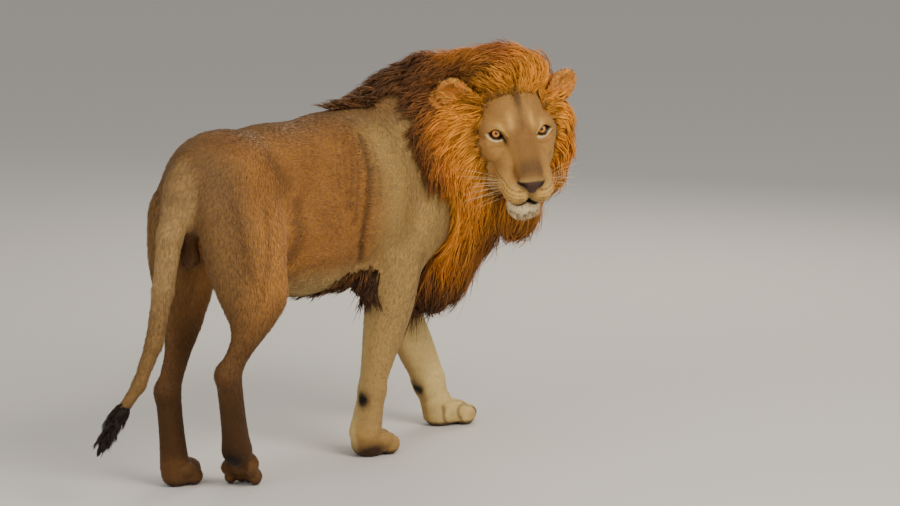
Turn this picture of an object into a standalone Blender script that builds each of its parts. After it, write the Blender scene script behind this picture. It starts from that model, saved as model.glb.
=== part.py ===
"""A life-size male lion, walking and looking back over its right side, as a still museum model.

The animal faces -Y and its left side is +X. Every mass below is placed by how far it lies
forward, left and up, in metres; the head has a frame of its own between the eyes.
The masses are joined and rounded over, and the body is then parted by thin cuts.
"""
import math

import bmesh
import bpy
import numpy as np
from mathutils import Matrix, Vector

# Driving dimensions, in metres
HIP_UP = 0.86
SHOULDER_UP = 0.77
RUMP_FORWARD = -0.46
BLADE_FORWARD = 0.30
TRUNK_HALF_WIDTH = 0.20
EYE_MIDDLE = (0.535, -0.39, 0.985)
EYE_SPACING = 0.146
EYE_RADIUS = 0.0185
POUCH_MIDDLE = (-0.578, 0, 0.722)
POUCH_RADII = (0.027, 0.033, 0.055)
HEAD_TURN = math.radians(-127)
HEAD_DROP = math.radians(28)
HEAD_TILT = math.radians(4)
RUFF_REACH = 0.225

# Each ear's middle in the head's frame, and the way it leans out of the mane
EARS = {
    1: ((-0.134, 0.171, 0.062), (-0.35, 0.55, 0.60)),
    -1: ((-0.134, -0.181, 0.072), (-0.25, -0.80, 0.56)),
}

# How the surface is made
VOXEL = 0.0075
ROUNDING_PASSES = 4
BROAD_PASSES = 100
ROUNDING_LOSS = 0.0016
BODY_TRIANGLES = 3630
DETAIL_PULL = 0.0004
GAP = 0.0006
SPECK = 0.00002
FLAT_ENOUGH = math.radians(3.0)

# Joints of each leg, from the hip or shoulder blade down to the toes
HIND_LEGS = {
    "right": {
        "hip": (RUMP_FORWARD, -0.105, HIP_UP),
        "knee": (-0.415, -0.150, 0.575),
        "hock": (-0.537, -0.102, 0.365),
        "ball": (-0.425, -0.047, 0.110),
        "toe": (-0.355, -0.022, 0.035),
    },
    "left": {
        "hip": (RUMP_FORWARD, 0.105, HIP_UP),
        "knee": (-0.385, 0.152, 0.560),
        "hock": (-0.545, 0.118, 0.290),
        "ball": (-0.510, 0.120, 0.062),
        "toe": (-0.445, 0.120, 0.035),
    },
}
FORE_LEGS = {
    "right": {
        "blade": (BLADE_FORWARD, -0.075, 1.03),
        "shoulder": (0.46, -0.148, SHOULDER_UP),
        "elbow": (0.22, -0.152, 0.58),
        "wrist": (0.168, -0.105, 0.205),
        "ball": (0.160, -0.090, 0.065),
        "toe": (0.247, -0.087, 0.035),
    },
    "left": {
        "blade": (BLADE_FORWARD, 0.075, 1.03),
        "shoulder": (0.49, 0.148, SHOULDER_UP),
        "elbow": (0.49, 0.130, 0.560),
        "wrist": (0.635, 0.020, 0.150),
        "ball": (0.662, 0.000, 0.065),
        "toe": (0.757, -0.030, 0.035),
    },
}
# The tail's line, each point with its radius
TAIL = (
    (-0.570, 0.000, 0.985, 0.055),
    (-0.632, 0.000, 0.900, 0.048),
    (-0.670, 0.005, 0.780, 0.040),
    (-0.693, 0.015, 0.620, 0.033),
    (-0.715, 0.030, 0.470, 0.028),
    (-0.755, 0.055, 0.350, 0.023),
    (-0.800, 0.080, 0.280, 0.020),
    (-0.825, 0.090, 0.245, 0.018),
)
TAIL_TIP = (-0.897, 0.106, 0.145)

FUR_COLOURS = {
    "trunk": (0.34, 0.19, 0.075),
    "neck_mane": (0.17, 0.065, 0.022),
    "chest_mane": (0.11, 0.038, 0.016),
    "crown_mane": (0.42, 0.17, 0.035),
    "head": (0.40, 0.24, 0.10),
    "ear": (0.36, 0.20, 0.07),
    "hind": (0.31, 0.18, 0.08),
    "fore": (0.48, 0.33, 0.15),
    "tail": (0.28, 0.16, 0.07),
    "tail_tuft": (0.025, 0.014, 0.010),
}
EYE_COLOUR = (0.55, 0.26, 0.05)


def place(forward, left, up):
    """World point or direction of one given as forward, left and up."""
    return Vector((left, -forward, up))


def head_axes():
    """The head's own ahead, left and up directions, in the world."""
    ahead = place(
        math.cos(HEAD_DROP) * math.cos(HEAD_TURN),
        math.cos(HEAD_DROP) * math.sin(HEAD_TURN),
        -math.sin(HEAD_DROP),
    )
    level_left = place(-math.sin(HEAD_TURN), math.cos(HEAD_TURN), 0.0)
    straight_up = ahead.cross(level_left)
    left = level_left * math.cos(HEAD_TILT) + straight_up * math.sin(HEAD_TILT)
    return ahead, left, ahead.cross(left)


AHEAD, ASIDE, ABOVE = head_axes()
HEAD_TURNED = (AHEAD, ASIDE, ABOVE)
BODY_TURNED = (place(1, 0, 0), place(0, 1, 0), place(0, 0, 1))


def in_head(ahead, left, up):
    """World point of one given in the head's frame, from the middle of the eyes."""
    return place(*EYE_MIDDLE) + AHEAD * ahead + ASIDE * left + ABOVE * up


def mix(start, end, share):
    """The point at a share of the way from one tuple to another."""
    return tuple(a + (b - a) * share for a, b in zip(start, end))


def shifted(point, forward=0.0, left=0.0, up=0.0):
    """A forward, left, up point moved by small amounts."""
    return (point[0] + forward, point[1] + left, point[2] + up)


class Clay:
    """Gathers the egg and limb shaped masses of the body for one mesh."""

    def __init__(self):
        self.points = []
        self.faces = []

    def add(self, points, faces):
        """Add one closed shell."""
        first = len(self.points)
        self.points.extend(points)
        self.faces.extend([tuple(first + index for index in face) for face in faces])

    def egg(self, centre, radii, turned=BODY_TURNED):
        """An ellipsoid with its three radii along the three given directions."""
        mesh = bmesh.new()
        matrix = spread(centre, radii, turned)
        bmesh.ops.create_uvsphere(mesh, u_segments=28, v_segments=18, radius=1.0, matrix=matrix)
        mesh.verts.index_update()
        faces = [[vert.index for vert in face.verts] for face in mesh.faces]
        self.add([vert.co.copy() for vert in mesh.verts], faces)
        mesh.free()

    def limb(self, start, end, radii, side=Vector((1, 0, 0)), flat=(1.0, 1.0), rings=12, around=24):
        """A rounded bar of changing oval section between two points, closed by round ends."""
        axis = (end - start).normalized()
        across = (side - axis * side.dot(axis)).normalized()
        other = axis.cross(across)
        shares = np.linspace(0.0, 1.0, rings + 1)
        table = eased(radii, shares)
        stations = [(share * (end - start).length, radius) for share, radius in zip(shares, table)]
        cap = [math.radians(angle) for angle in (72, 50, 25)]
        near_end = [(-table[0] * math.sin(a), table[0] * math.cos(a)) for a in cap]
        last = stations[-1][0]
        far_end = [(last + table[-1] * math.sin(a), table[-1] * math.cos(a)) for a in reversed(cap)]
        stations = near_end + stations + far_end
        points = []
        for along, radius in stations:
            for turn in np.linspace(0.0, 2.0 * math.pi, around, endpoint=False):
                offset = across * math.cos(turn) * flat[0] + other * math.sin(turn) * flat[1]
                points.append(start + axis * along + offset * radius)
        faces = [list(range(around))[::-1], [len(points) - around + index for index in range(around)]]
        for ring in range(len(stations) - 1):
            for index in range(around):
                after = (index + 1) % around
                low = ring * around
                faces.append([low + index, low + after, low + around + after, low + around + index])
        self.add(points, faces)

    def object(self, name):
        """A new object of every shell."""
        mesh = bmesh.new()
        data = bpy.data.meshes.new(name)
        data.from_pydata(self.points, [], self.faces)
        mesh.from_mesh(data)
        bmesh.ops.recalc_face_normals(mesh, faces=mesh.faces)
        bpy.data.meshes.remove(data)
        return finished_object(name, mesh)


def spread(centre, radii, turned):
    """The matrix that makes a unit ball an egg with its radii along the turned directions."""
    axes = Matrix([turned[i] * radii[i] for i in range(3)]).transposed()
    return Matrix.Translation(centre) @ axes.to_4x4()


def eased(radii, shares):
    """Radii read along a limb, with the corners of their graph rounded off."""
    table = np.interp(shares, np.linspace(0.0, 1.0, len(radii)), radii)
    for _ in range(2):
        table[1:-1] = 0.25 * table[:-2] + 0.5 * table[1:-1] + 0.25 * table[2:]
    return table


def add_trunk(clay):
    """Rump, loin, belly, ribs, chest and withers."""
    wide = TRUNK_HALF_WIDTH
    for centre, radii in (
        ((-0.43, 0, 0.905), (0.205, 0.82 * wide, 0.165)),
        ((-0.57, 0, 0.89), (0.095, 0.42 * wide, 0.13)),
        ((-0.24, 0, 0.885), (0.26, 0.75 * wide, 0.18)),
        ((0.06, 0, 0.885), (0.26, 0.75 * wide, 0.185)),
        ((-0.12, 0, 0.865), (0.50, 0.68 * wide, 0.195)),
        ((-0.05, 0, 0.745), (0.36, 0.90 * wide, 0.23)),
        ((0.17, 0, 0.785), (0.33, wide, 0.275)),
        ((0.16, 0, 0.94), (0.18, 0.55 * wide, 0.128)),
        ((0.36, 0, 0.78), (0.20, 0.92 * wide, 0.25)),
        ((0.30, 0, 1.0), (0.22, 0.37 * wide, 0.085)),
        ((0.50, 0, 0.74), (0.10, 0.65 * wide, 0.15)),
    ):
        clay.egg(place(*centre), radii)


def add_hind_leg(clay, side, joints):
    """Thigh, hamstring, knee, shank, heel cord, hock, foot and paw of one hind leg."""
    hip, knee, hock, ball, toe = (joints[name] for name in ("hip", "knee", "hock", "ball", "toe"))
    across = place(0, 1, 0)
    inward = -0.01 * side
    clay.limb(place(*shifted(hip, 0, inward, -0.02)), place(*shifted(knee, -0.02, 0, 0.03)),
              (0.135, 0.135, 0.118, 0.088), across, (0.62, 1.1))
    calf = mix(knee, hock, 0.42)
    clay.limb(place(*shifted(hip, -0.088, inward, -0.03)), place(*shifted(calf, -0.02)),
              (0.095, 0.105, 0.085, 0.05), across, (0.66, 1.0))
    clay.egg(place(*shifted(knee, 0.010, 0, 0.02)), (0.068, 0.058, 0.085))
    clay.limb(place(*shifted(knee, -0.01)), place(*shifted(hock, 0.012, 0, 0.01)),
              (0.066, 0.070, 0.052, 0.040, 0.037), across, (0.78, 1.1))
    cord_top = mix(knee, hock, 0.35)
    clay.limb(place(*shifted(cord_top, -0.03, 0, 0.02)), place(*shifted(hock, -0.030, 0, 0.012)),
              (0.036, 0.024, 0.018, 0.020), across, (0.85, 1.0))
    clay.egg(place(*shifted(hock, -0.016)), (0.036, 0.033, 0.045))
    clay.limb(place(*hock), place(*shifted(ball, -0.004, 0, 0.01)),
              (0.042, 0.041, 0.042, 0.047), across, (0.94, 1.05))
    add_paw(clay, ball, toe, 0.047, 0.0250)


def add_fore_leg(clay, side, joints):
    """Shoulder blade, upper arm, forearm, wrist and paw of one fore leg."""
    names = ("blade", "shoulder", "elbow", "wrist", "ball", "toe")
    blade, shoulder, elbow, wrist, ball, toe = (joints[name] for name in names)
    across = place(0, 1, 0)
    stout = 1.0 + 0.1 * (1 + side)
    clay.limb(place(*shifted(blade, 0, 0, -0.02)), place(*shoulder),
              (0.055, 0.085, 0.10, 0.10), place(0, 1, 0.3 * side), (0.55, 1.15))
    clay.egg(place(*shifted(shoulder, -0.01)), (0.10, 0.072, 0.11))
    clay.limb(place(*shifted(shoulder, -0.02)), place(*shifted(elbow, 0.03, 0, 0.01)),
              (0.10, 0.105, 0.09, 0.075), across, (0.70, 1.05))
    triceps = shifted(mix(blade, shoulder, 0.35), -0.10, 0.02 * side, -0.02)
    clay.limb(place(*triceps), place(*shifted(elbow, -0.005, 0, 0.02)),
              (0.07, 0.085, 0.08, 0.05), across, (0.6, 1.1))
    clay.limb(place(*shifted(elbow, 0.01)), place(*shifted(wrist, 0, 0, 0.015)),
              (0.080, 0.090, 0.082, 0.068, 0.056 * stout, 0.047 * stout), across, (0.84, 1.08))
    clay.egg(place(*shifted(elbow, -0.03, 0, 0.03)), (0.04, 0.038, 0.045))
    clay.egg(place(*shifted(wrist, 0.004)), (0.043 * stout, 0.045 * stout, 0.048))
    clay.egg(place(*shifted(wrist, -0.041 * stout, 0, -0.012)), (0.018, 0.018, 0.022))
    clay.limb(place(*wrist), place(*shifted(ball, -0.006, 0, 0.01)),
              (0.045 * stout, 0.046 * stout, 0.049, 0.053), across)
    add_paw(clay, ball, toe, 0.056, 0.0295)


def add_paw(clay, ball, toe, half_width, toe_radius):
    """A pad under the ball of the foot and four toes side by side in front of it."""
    ahead = Vector((toe[0] - ball[0], toe[1] - ball[1], 0.0)).normalized()
    sideways = Vector((-ahead.y, ahead.x, 0.0))
    turned = (place(*ahead), place(*sideways), place(0, 0, 1))
    flat_on_floor = ball[2] < 0.08
    middle = Vector(ball)
    if flat_on_floor:
        heel = Vector((ball[0], ball[1], 0.036)) + ahead * 0.010
        instep = heel + ahead * 0.035 + Vector((0, 0, 0.012))
        clay.egg(place(*heel), (0.058, half_width * 0.98, 0.045), turned)
        web = heel + ahead * 0.034 - Vector((0, 0, 0.004))
        clay.egg(place(*instep), (0.056, half_width * 0.95, 0.034), turned)
        clay.egg(place(*web), (0.050, half_width * 1.12, 0.033), turned)
    else:
        slope = (Vector(toe) - middle).normalized()
        tipped = (place(*slope), place(*sideways), place(*slope.cross(sideways)))
        clay.egg(place(*middle), (0.058, half_width * 0.96, 0.043), tipped)
        clay.egg(place(*mix(ball, toe, 0.55)), (0.050, half_width * 1.18, 0.036), tipped)
    for step, reach in ((-1.05, -0.020), (-0.36, 0.006), (0.36, 0.006), (1.05, -0.020)):
        tip = Vector(toe) + sideways * half_width * 0.78 * step + ahead * reach
        tip.z = toe_radius
        clay.egg(place(*tip), (toe_radius * 1.36, toe_radius * 0.86, toe_radius * 1.12), turned)
        knuckle = tip - ahead * 0.034
        knuckle.z = 0.049 if flat_on_floor else 0.056
        clay.egg(place(*knuckle), (toe_radius * 1.3, toe_radius * 0.84, toe_radius), turned)


def add_neck(clay):
    """The neck under its mane, bending round to the right."""
    clay.limb(
        place(0.36, 0, 0.88), place(0.52, -0.05, 0.93), (0.20, 0.18, 0.165), place(0, 1, 0), (0.82, 1.05)
    )
    clay.limb(place(0.50, -0.05, 0.93), place(0.60, -0.17, 0.97),
              (0.165, 0.15, 0.14), place(1, 1, 0), (0.85, 1.05))
    clay.limb(place(0.60, -0.16, 0.97), place(0.61, -0.29, 1.01),
              (0.14, 0.13, 0.115), place(1, 0, 0), (0.95, 1.0))


def add_head(clay):
    """Skull, brows, cheeks, nose bridge, muzzle and jaw, in the head's frame."""
    for centre, radii in (
        ((-0.105, 0, 0.015), (0.125, 0.100, 0.082)),
        ((-0.19, 0, -0.035), (0.11, 0.105, 0.105)),
        ((-0.030, 0, 0.012), (0.080, 0.075, 0.045)),
        ((0.160, 0, -0.070), (0.027, 0.047, 0.029)),
        ((0.112, 0, -0.190), (0.046, 0.052, 0.038)),
    ):
        clay.egg(in_head(*centre), radii, HEAD_TURNED)
    clay.limb(in_head(-0.01, 0, 0.004), in_head(0.138, 0, -0.054), (0.044, 0.042, 0.037), ASIDE, (1.2, 0.85))
    clay.limb(in_head(0.095, 0, -0.180), in_head(-0.05, 0, -0.150), (0.040, 0.052, 0.062), ASIDE, (1.15, 0.9))
    for side in (-1, 1):
        clay.limb(in_head(0.015, 0.072 * side, -0.050), in_head(-0.10, 0.106 * side, -0.055),
                  (0.040, 0.047, 0.052), ASIDE)
        clay.limb(in_head(0.013, 0.042 * side, 0.024), in_head(-0.02, 0.088 * side, 0.020),
                  (0.018, 0.017), ASIDE)
        for centre, radii in (
            ((-0.065, 0.082 * side, -0.105), (0.090, 0.055, 0.080)),
            ((0.130, 0.036 * side, -0.116), (0.054, 0.045, 0.047)),
            ((0.070, 0.045 * side, -0.110), (0.072, 0.047, 0.058)),
            ((0.015, 0.065 * side, -0.138), (0.070, 0.042, 0.055)),
            ((-0.035, 0.085 * side, 0.0), (0.05, 0.035, 0.035)),
            ((0.050, 0.048 * side, -0.062), (0.060, 0.034, 0.040)),
        ):
            clay.egg(in_head(*centre), radii, HEAD_TURNED)


def ruff_reach(angle):
    """How far the mane reaches from the head's middle line at an angle round the face."""
    up = math.sin(angle)
    return RUFF_REACH - 0.035 * math.cos(angle) * max(up, 0.0) + 0.150 * max(-up, 0.0) ** 2


def add_mane(clay):
    """The ruff round the face, the neck's mane, the chest's, the crest and the elbow fringes."""
    clay.egg(in_head(-0.170, -0.025, 0.100), (0.100, 0.125, 0.114), HEAD_TURNED)
    clay.egg(place(0.50, -0.07, 1.115), (0.12, 0.10, 0.11))
    clay.egg(in_head(0.015, 0.015, -0.300), (0.085, 0.092, 0.105), HEAD_TURNED)
    clay.egg(in_head(-0.04, -0.085, -0.42), (0.08, 0.08, 0.095), HEAD_TURNED)
    for step in range(18):
        angle = 2.0 * math.pi * step / 18
        out = ruff_reach(angle) - 0.085
        low = max(-math.sin(angle), 0.0)
        by_ear = math.exp(-((math.degrees(math.asin(math.sin(angle))) - 35.0) / 22.0) ** 2)
        ahead = -0.140 + 0.070 * low - 0.10 * by_ear
        centre = in_head(ahead, out * math.cos(angle), out * math.sin(angle) - 0.02)
        clay.egg(centre, (0.075, 0.085, 0.085), HEAD_TURNED)
    clay.egg(in_head(-0.15, 0, -0.075), (0.085, 0.185, 0.215), HEAD_TURNED)
    clay.limb(place(0.36, 0, 0.93), place(0.52, -0.05, 0.985),
              (0.19, 0.205, 0.205), place(0, 1, 0), (0.96, 1.05))
    clay.limb(place(0.52, -0.05, 0.98), place(0.615, -0.16, 1.00),
              (0.205, 0.20, 0.195), place(1, 1, 0), (0.94, 1.03))
    clay.limb(
        place(0.61, -0.15, 1.00), place(0.625, -0.24, 1.01), (0.195, 0.165), place(1, 0, 0), (0.95, 1.03)
    )
    clay.limb(place(0.62, -0.20, 0.90), place(0.55, -0.08, 0.62), (0.20, 0.17, 0.15), place(0, 1, 0))
    clay.egg(place(0.50, -0.03, 0.74), (0.17, 0.205, 0.26))
    clay.egg(place(0.54, -0.06, 0.56), (0.12, 0.15, 0.18))
    clay.limb(place(0.02, 0, 1.035), place(0.40, 0, 1.085),
              (0.016, 0.034, 0.055, 0.085), place(0, 1, 0), (0.6, 1.0))
    for side in (-1, 1):
        clay.egg(place(0.13, 0.115 * side, 0.560), (0.085, 0.038, 0.052))


def add_tail(clay):
    """The hanging tail and the tuft at its tip."""
    for near, far in zip(TAIL, TAIL[1:]):
        clay.limb(place(*near[:3]), place(*far[:3]), (near[3], far[3]), rings=4)
    clay.limb(place(*TAIL[-1][:3]), place(*TAIL_TIP), (0.021, 0.040, 0.040, 0.015))


def finished_object(name, mesh):
    """A new object on the scene's own collection, from a bmesh."""
    data = bpy.data.meshes.new(name)
    mesh.to_mesh(data)
    mesh.free()
    made = bpy.data.objects.new(name, data)
    bpy.context.scene.collection.objects.link(made)
    return made


def settle(made):
    """Apply an object's modifiers to its mesh."""
    graph = bpy.context.evaluated_depsgraph_get()
    data = bpy.data.meshes.new_from_object(made.evaluated_get(graph))
    made.modifiers.clear()
    made.data = data


def whole_body():
    """The animal in one closed skin, to the tips of its coat."""
    clay = Clay()
    add_trunk(clay)
    add_hind_leg(clay, 1, HIND_LEGS["left"])
    add_hind_leg(clay, -1, HIND_LEGS["right"])
    add_fore_leg(clay, 1, FORE_LEGS["left"])
    add_fore_leg(clay, -1, FORE_LEGS["right"])
    add_neck(clay)
    add_head(clay)
    add_mane(clay)
    add_tail(clay)
    body = clay.object("whole_body")
    remesh = body.modifiers.new("join", "REMESH")
    remesh.mode = "VOXEL"
    remesh.voxel_size = VOXEL
    rounding = body.modifiers.new("round", "SMOOTH")
    rounding.factor = 0.5
    rounding.iterations = ROUNDING_PASSES
    settle(body)
    weigh(body, "broad", broad_share)
    blending = body.modifiers.new("blend", "SMOOTH")
    blending.factor = 0.5
    blending.iterations = BROAD_PASSES
    blending.vertex_group = "broad"
    swell = body.modifiers.new("swell", "DISPLACE")
    swell.mid_level = 0.0
    swell.strength = ROUNDING_LOSS
    settle(body)
    weigh(body, "plain", plain_share)
    thin = body.modifiers.new("thin", "DECIMATE")
    thin.use_collapse_triangulate = True
    thin.vertex_group = "plain"
    thin.vertex_group_factor = DETAIL_PULL
    thin.ratio = BODY_TRIANGLES / (2.0 * len(body.data.polygons))
    settle(body)
    return body


def face_nearness(points):
    """1 at the muzzle, falling to 0 a head's length away."""
    muzzle = np.array(in_head(0.03, 0, -0.05))
    return np.clip(1.0 - np.linalg.norm(points - muzzle, axis=1) / 0.24, 0.0, 1.0)


def broad_share(points):
    """How freely the surface is blended: fully on the trunk and mane, not on the face, feet or tail."""
    off_floor = np.clip((points[:, 2] - 0.36) / 0.16, 0.0, 1.0)
    off_tail = np.clip((0.615 - points[:, 1]) / 0.05, 0.0, 1.0)
    off_face = np.clip(1.0 - 4.0 * face_nearness(points), 0.0, 1.0)
    return off_floor * off_tail * off_face


def plain_share(points):
    """How few triangles a place needs: fewest on the trunk, most on the face and paws."""
    near_floor = np.clip(1.0 - points[:, 2] / 0.14, 0.0, 1.0)
    return 1.0 - np.maximum(np.sqrt(face_nearness(points)), 0.5 * near_floor)


def weigh(body, name, share):
    """Write a share worked out at every point into a vertex group."""
    group = body.vertex_groups.new(name=name)
    count = len(body.data.vertices)
    points = np.empty(count * 3)
    body.data.vertices.foreach_get("co", points)
    levels = np.round(share(points.reshape(count, 3)) * 20)
    for level in range(21):
        chosen = np.nonzero(levels == level)[0]
        group.add(chosen.tolist(), level / 20.0, "REPLACE")


def combined(body, cutter, operation):
    """Cut or keep part of a body with another object, by an exact Boolean."""
    boolean = body.modifiers.new("cut", "BOOLEAN")
    boolean.operation = operation
    boolean.solver = "EXACT"
    boolean.use_self = True
    boolean.object = cutter
    settle(body)


def copied(made, name):
    """A second object with its own copy of a mesh."""
    twin = bpy.data.objects.new(name, made.data.copy())
    bpy.context.scene.collection.objects.link(twin)
    return twin


def block(corners, grow=0.0):
    """A convex cutter over corner points, each moved outwards from their middle by grow."""
    middle = sum(corners, Vector()) / len(corners)
    mesh = bmesh.new()
    for corner in corners:
        mesh.verts.new(corner + (corner - middle).normalized() * grow)
    hull = bmesh.ops.convex_hull(mesh, input=mesh.verts)
    inside = [item for item in hull["geom_interior"] if isinstance(item, bmesh.types.BMVert)]
    bmesh.ops.delete(mesh, geom=inside, context="VERTS")
    bmesh.ops.recalc_face_normals(mesh, faces=mesh.faces)
    return finished_object("cutter", mesh)


def ball_shape(name, centre, radii, turned, grow=0.0, segments=32):
    """An egg-shaped object, each radius larger by grow."""
    mesh = bmesh.new()
    matrix = spread(centre, [radius + grow for radius in radii], turned)
    bmesh.ops.create_uvsphere(mesh, u_segments=segments, v_segments=segments // 2, radius=1.0, matrix=matrix)
    bmesh.ops.recalc_face_normals(mesh, faces=mesh.faces)
    return finished_object(name, mesh)


def discard(*made):
    """Remove objects that were only cutters."""
    for item in made:
        bpy.data.objects.remove(item, do_unlink=True)


def parted(body, name, cutters):
    """Split off the part of a body inside a cutter; the rest keeps a thin gap to it.

    cutters is a pair of objects, the cutter and the same one slightly grown.
    """
    piece = copied(body, name)
    combined(piece, cutters[0], "INTERSECT")
    combined(body, cutters[1], "DIFFERENCE")
    discard(*cutters)
    return piece


def blocks(corners):
    """A block and its grown twin, for parting."""
    return block(corners), block(corners, GAP)


def slab_across(point, direction, reach=0.4):
    """The half of space beyond a plane, as a large box and its grown twin."""
    axis = direction.normalized()
    across = axis.orthogonal().normalized()
    other = axis.cross(across)
    boxes = []
    for grow in (0.0, 0.75 * GAP):
        corners = []
        for depth in (-grow, reach * 2.0):
            for u in (-reach, reach):
                for v in (-reach, reach):
                    corners.append(point + axis * depth + across * u + other * v)
        boxes.append(block(corners))
    return boxes


def leg_blocks(side, back, front, inner_up, outer_up, crossing):
    """A cutter round one leg: its top slopes up outwards, its inner face stands near the middle plane.

    crossing is how far the foot of that face leans over to the other side, at its back and front.
    """
    low, outer, inner = -0.1, 0.26, 0.004
    corners = []
    for forward, lean in zip((back, front), crossing):
        for left, up in ((inner - lean, low), (outer, low), (outer, outer_up), (inner, inner_up)):
            corners.append(place(forward, left * side, up))
    return blocks(corners)


def part_leg(body, name, side, reach, joints, cuts):
    """Take one leg off the trunk and part it into its lengths, from the top down."""
    pieces = [parted(body, name + cuts[0][0], leg_blocks(side, *reach))]
    for length, joint, next_joint in cuts[1:]:
        point = place(*joints[joint])
        direction = place(*joints[next_joint]) - point
        pieces.append(parted(pieces[-1], name + length, slab_across(point, direction, 1.0)))
    return pieces


def part_tail(body):
    """Take the tail off the rump and part it into three lengths and the tuft."""
    corners = []
    for forward in (-0.607, -1.10):
        for left in (-0.048, 0.052):
            corners.append(place(forward, left, 1.06))
        for left in (-0.10, 0.22):
            corners.append(place(forward - 0.076, left, 0.10))
    pieces = [parted(body, "tail_upper", blocks(corners))]
    for name, start in (("tail_middle", 2), ("tail_lower", 4), ("tail_tuft", 7)):
        near = place(*TAIL[start][:3])
        far = place(*(TAIL[start + 1][:3] if start < 7 else TAIL_TIP))
        pieces.append(parted(pieces[-1], name, slab_across(near, far - near)))
    return pieces


def ear_shape(name, side, grow=0.0):
    """One round ear: a shallow cup on a short stem, opening forwards and outwards."""
    spot, lean = EARS[side]
    outward = (AHEAD * lean[0] + ASIDE * lean[1] + ABOVE * lean[2]).normalized()
    opening = AHEAD * 0.88 + ASIDE * 0.28 * side + ABOVE * 0.10
    opening = (opening - outward * opening.dot(outward)).normalized()
    turned = (outward, opening, outward.cross(opening))
    centre = in_head(*spot)
    clay = Clay()
    clay.egg(centre, (0.054, 0.023, 0.048), turned)
    stem = (centre - outward * 0.075, centre - outward * 0.02)
    clay.limb(*stem, (0.040, 0.040), opening, (0.5, 1.0), rings=3, around=20)
    ear = clay.object(name)
    joining = ear.modifiers.new("join", "REMESH")
    joining.mode = "VOXEL"
    joining.voxel_size = 0.005
    rounding = ear.modifiers.new("round", "SMOOTH")
    rounding.iterations = 4
    settle(ear)
    hollow = ball_shape("cutter", centre + opening * 0.022, (0.042, 0.024, 0.037), turned, segments=24)
    combined(ear, hollow, "DIFFERENCE")
    discard(hollow)
    thin = ear.modifiers.new("thin", "DECIMATE")
    thin.use_collapse_triangulate = True
    thin.ratio = 0.075
    if grow:
        swell = ear.modifiers.new("swell", "DISPLACE")
        swell.mid_level = 0.0
        swell.strength = grow
    settle(ear)
    return ear


def part_head(body):
    """Set in the eyes and ears, then part the head from the mane round it."""
    made = []
    for side, word in ((1, "left"), (-1, "right")):
        ear = ear_shape("ear_" + word, side)
        room = ear_shape("cutter", side, GAP)
        combined(body, room, "DIFFERENCE")
        discard(room)
        made.append(ear)
    centre = in_head(0, 0, -0.070)
    radii = (0.225, 0.152, 0.197)
    cutters = (
        ball_shape("cutter", centre, radii, HEAD_TURNED, segments=24),
        ball_shape("cutter", centre, radii, HEAD_TURNED, GAP, segments=24),
    )
    head = parted(body, "head", cutters)
    for side, word in ((1, "left"), (-1, "right")):
        point = in_head(-0.003, EYE_SPACING / 2.0 * side, 0.0)
        ball = (EYE_RADIUS,) * 3
        eye = ball_shape("eye_" + word, point, ball, HEAD_TURNED, segments=14)
        room = ball_shape("cutter", point, ball, HEAD_TURNED, GAP, segments=14)
        front = point + AHEAD * 0.022
        opening = ball_shape("cutter", front, (0.026, 0.024, 0.0175), HEAD_TURNED, segments=16)
        combined(head, opening, "DIFFERENCE")
        combined(head, room, "DIFFERENCE")
        discard(room, opening)
        made.append(eye)
    return made + [head]


def part_pouch(body):
    """The scrotum that hangs between the thighs, and room for it."""
    middle = place(*POUCH_MIDDLE)
    made = ball_shape("scrotum", middle, POUCH_RADII, BODY_TURNED, segments=16)
    room = ball_shape("cutter", middle, POUCH_RADII, BODY_TURNED, GAP, segments=16)
    combined(body, room, "DIFFERENCE")
    discard(room)
    return [made]


def part_mane(body):
    """Part the crown, the neck's mane and the chest's from the trunk."""
    ruff = [in_head(a, s, u) for a in (-0.235, 0.20) for s in (-0.32, 0.32) for u in (-0.30, 0.32)]
    crown = parted(body, "crown_mane", blocks(ruff))
    front = slab_across(place(0.345, 0, 0.90), place(1, 0, 0.10), 1.0)
    neck = parted(body, "neck_mane", front)
    chest = parted(neck, "chest_mane", slab_across(place(0.50, 0, 0.80), place(0.15, 0, -1), 0.7))
    return [crown, neck, chest]


def keep_largest(made):
    """Drop the specks that a cut leaves beside a piece, and close up doubled points."""
    mesh = bmesh.new()
    mesh.from_mesh(made.data)
    bmesh.ops.remove_doubles(mesh, verts=mesh.verts, dist=SPECK)
    bmesh.ops.dissolve_degenerate(mesh, edges=mesh.edges, dist=SPECK)
    islands = []
    seen = set()
    for start in mesh.verts:
        if start in seen:
            continue
        island = [start]
        seen.add(start)
        for vert in island:
            for edge in vert.link_edges:
                other = edge.other_vert(vert)
                if other not in seen:
                    seen.add(other)
                    island.append(other)
        islands.append(island)
    islands.sort(key=len, reverse=True)
    for island in islands[1:]:
        bmesh.ops.delete(mesh, geom=island, context="VERTS")
    bmesh.ops.dissolve_limit(mesh, angle_limit=FLAT_ENOUGH, verts=mesh.verts, edges=mesh.edges)
    bmesh.ops.triangulate(mesh, faces=mesh.faces)
    mesh.to_mesh(made.data)
    mesh.free()


def stand_flat(body):
    """Trim the soles to small flats on the floor."""
    below = block([Vector((x, y, z)) for x in (-2, 2) for y in (-2, 2) for z in (-0.5, 0.0)])
    combined(body, below, "DIFFERENCE")
    discard(below)


def centre_on_floor(pieces):
    """Put the middle of the whole animal's box over the origin."""
    corners = np.array([vertex.co for made in pieces for vertex in made.data.vertices])
    middle = (corners.min(axis=0) + corners.max(axis=0)) / 2.0
    for made in pieces:
        made.data.transform(Matrix.Translation((-middle[0], -middle[1], 0.0)))


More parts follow.
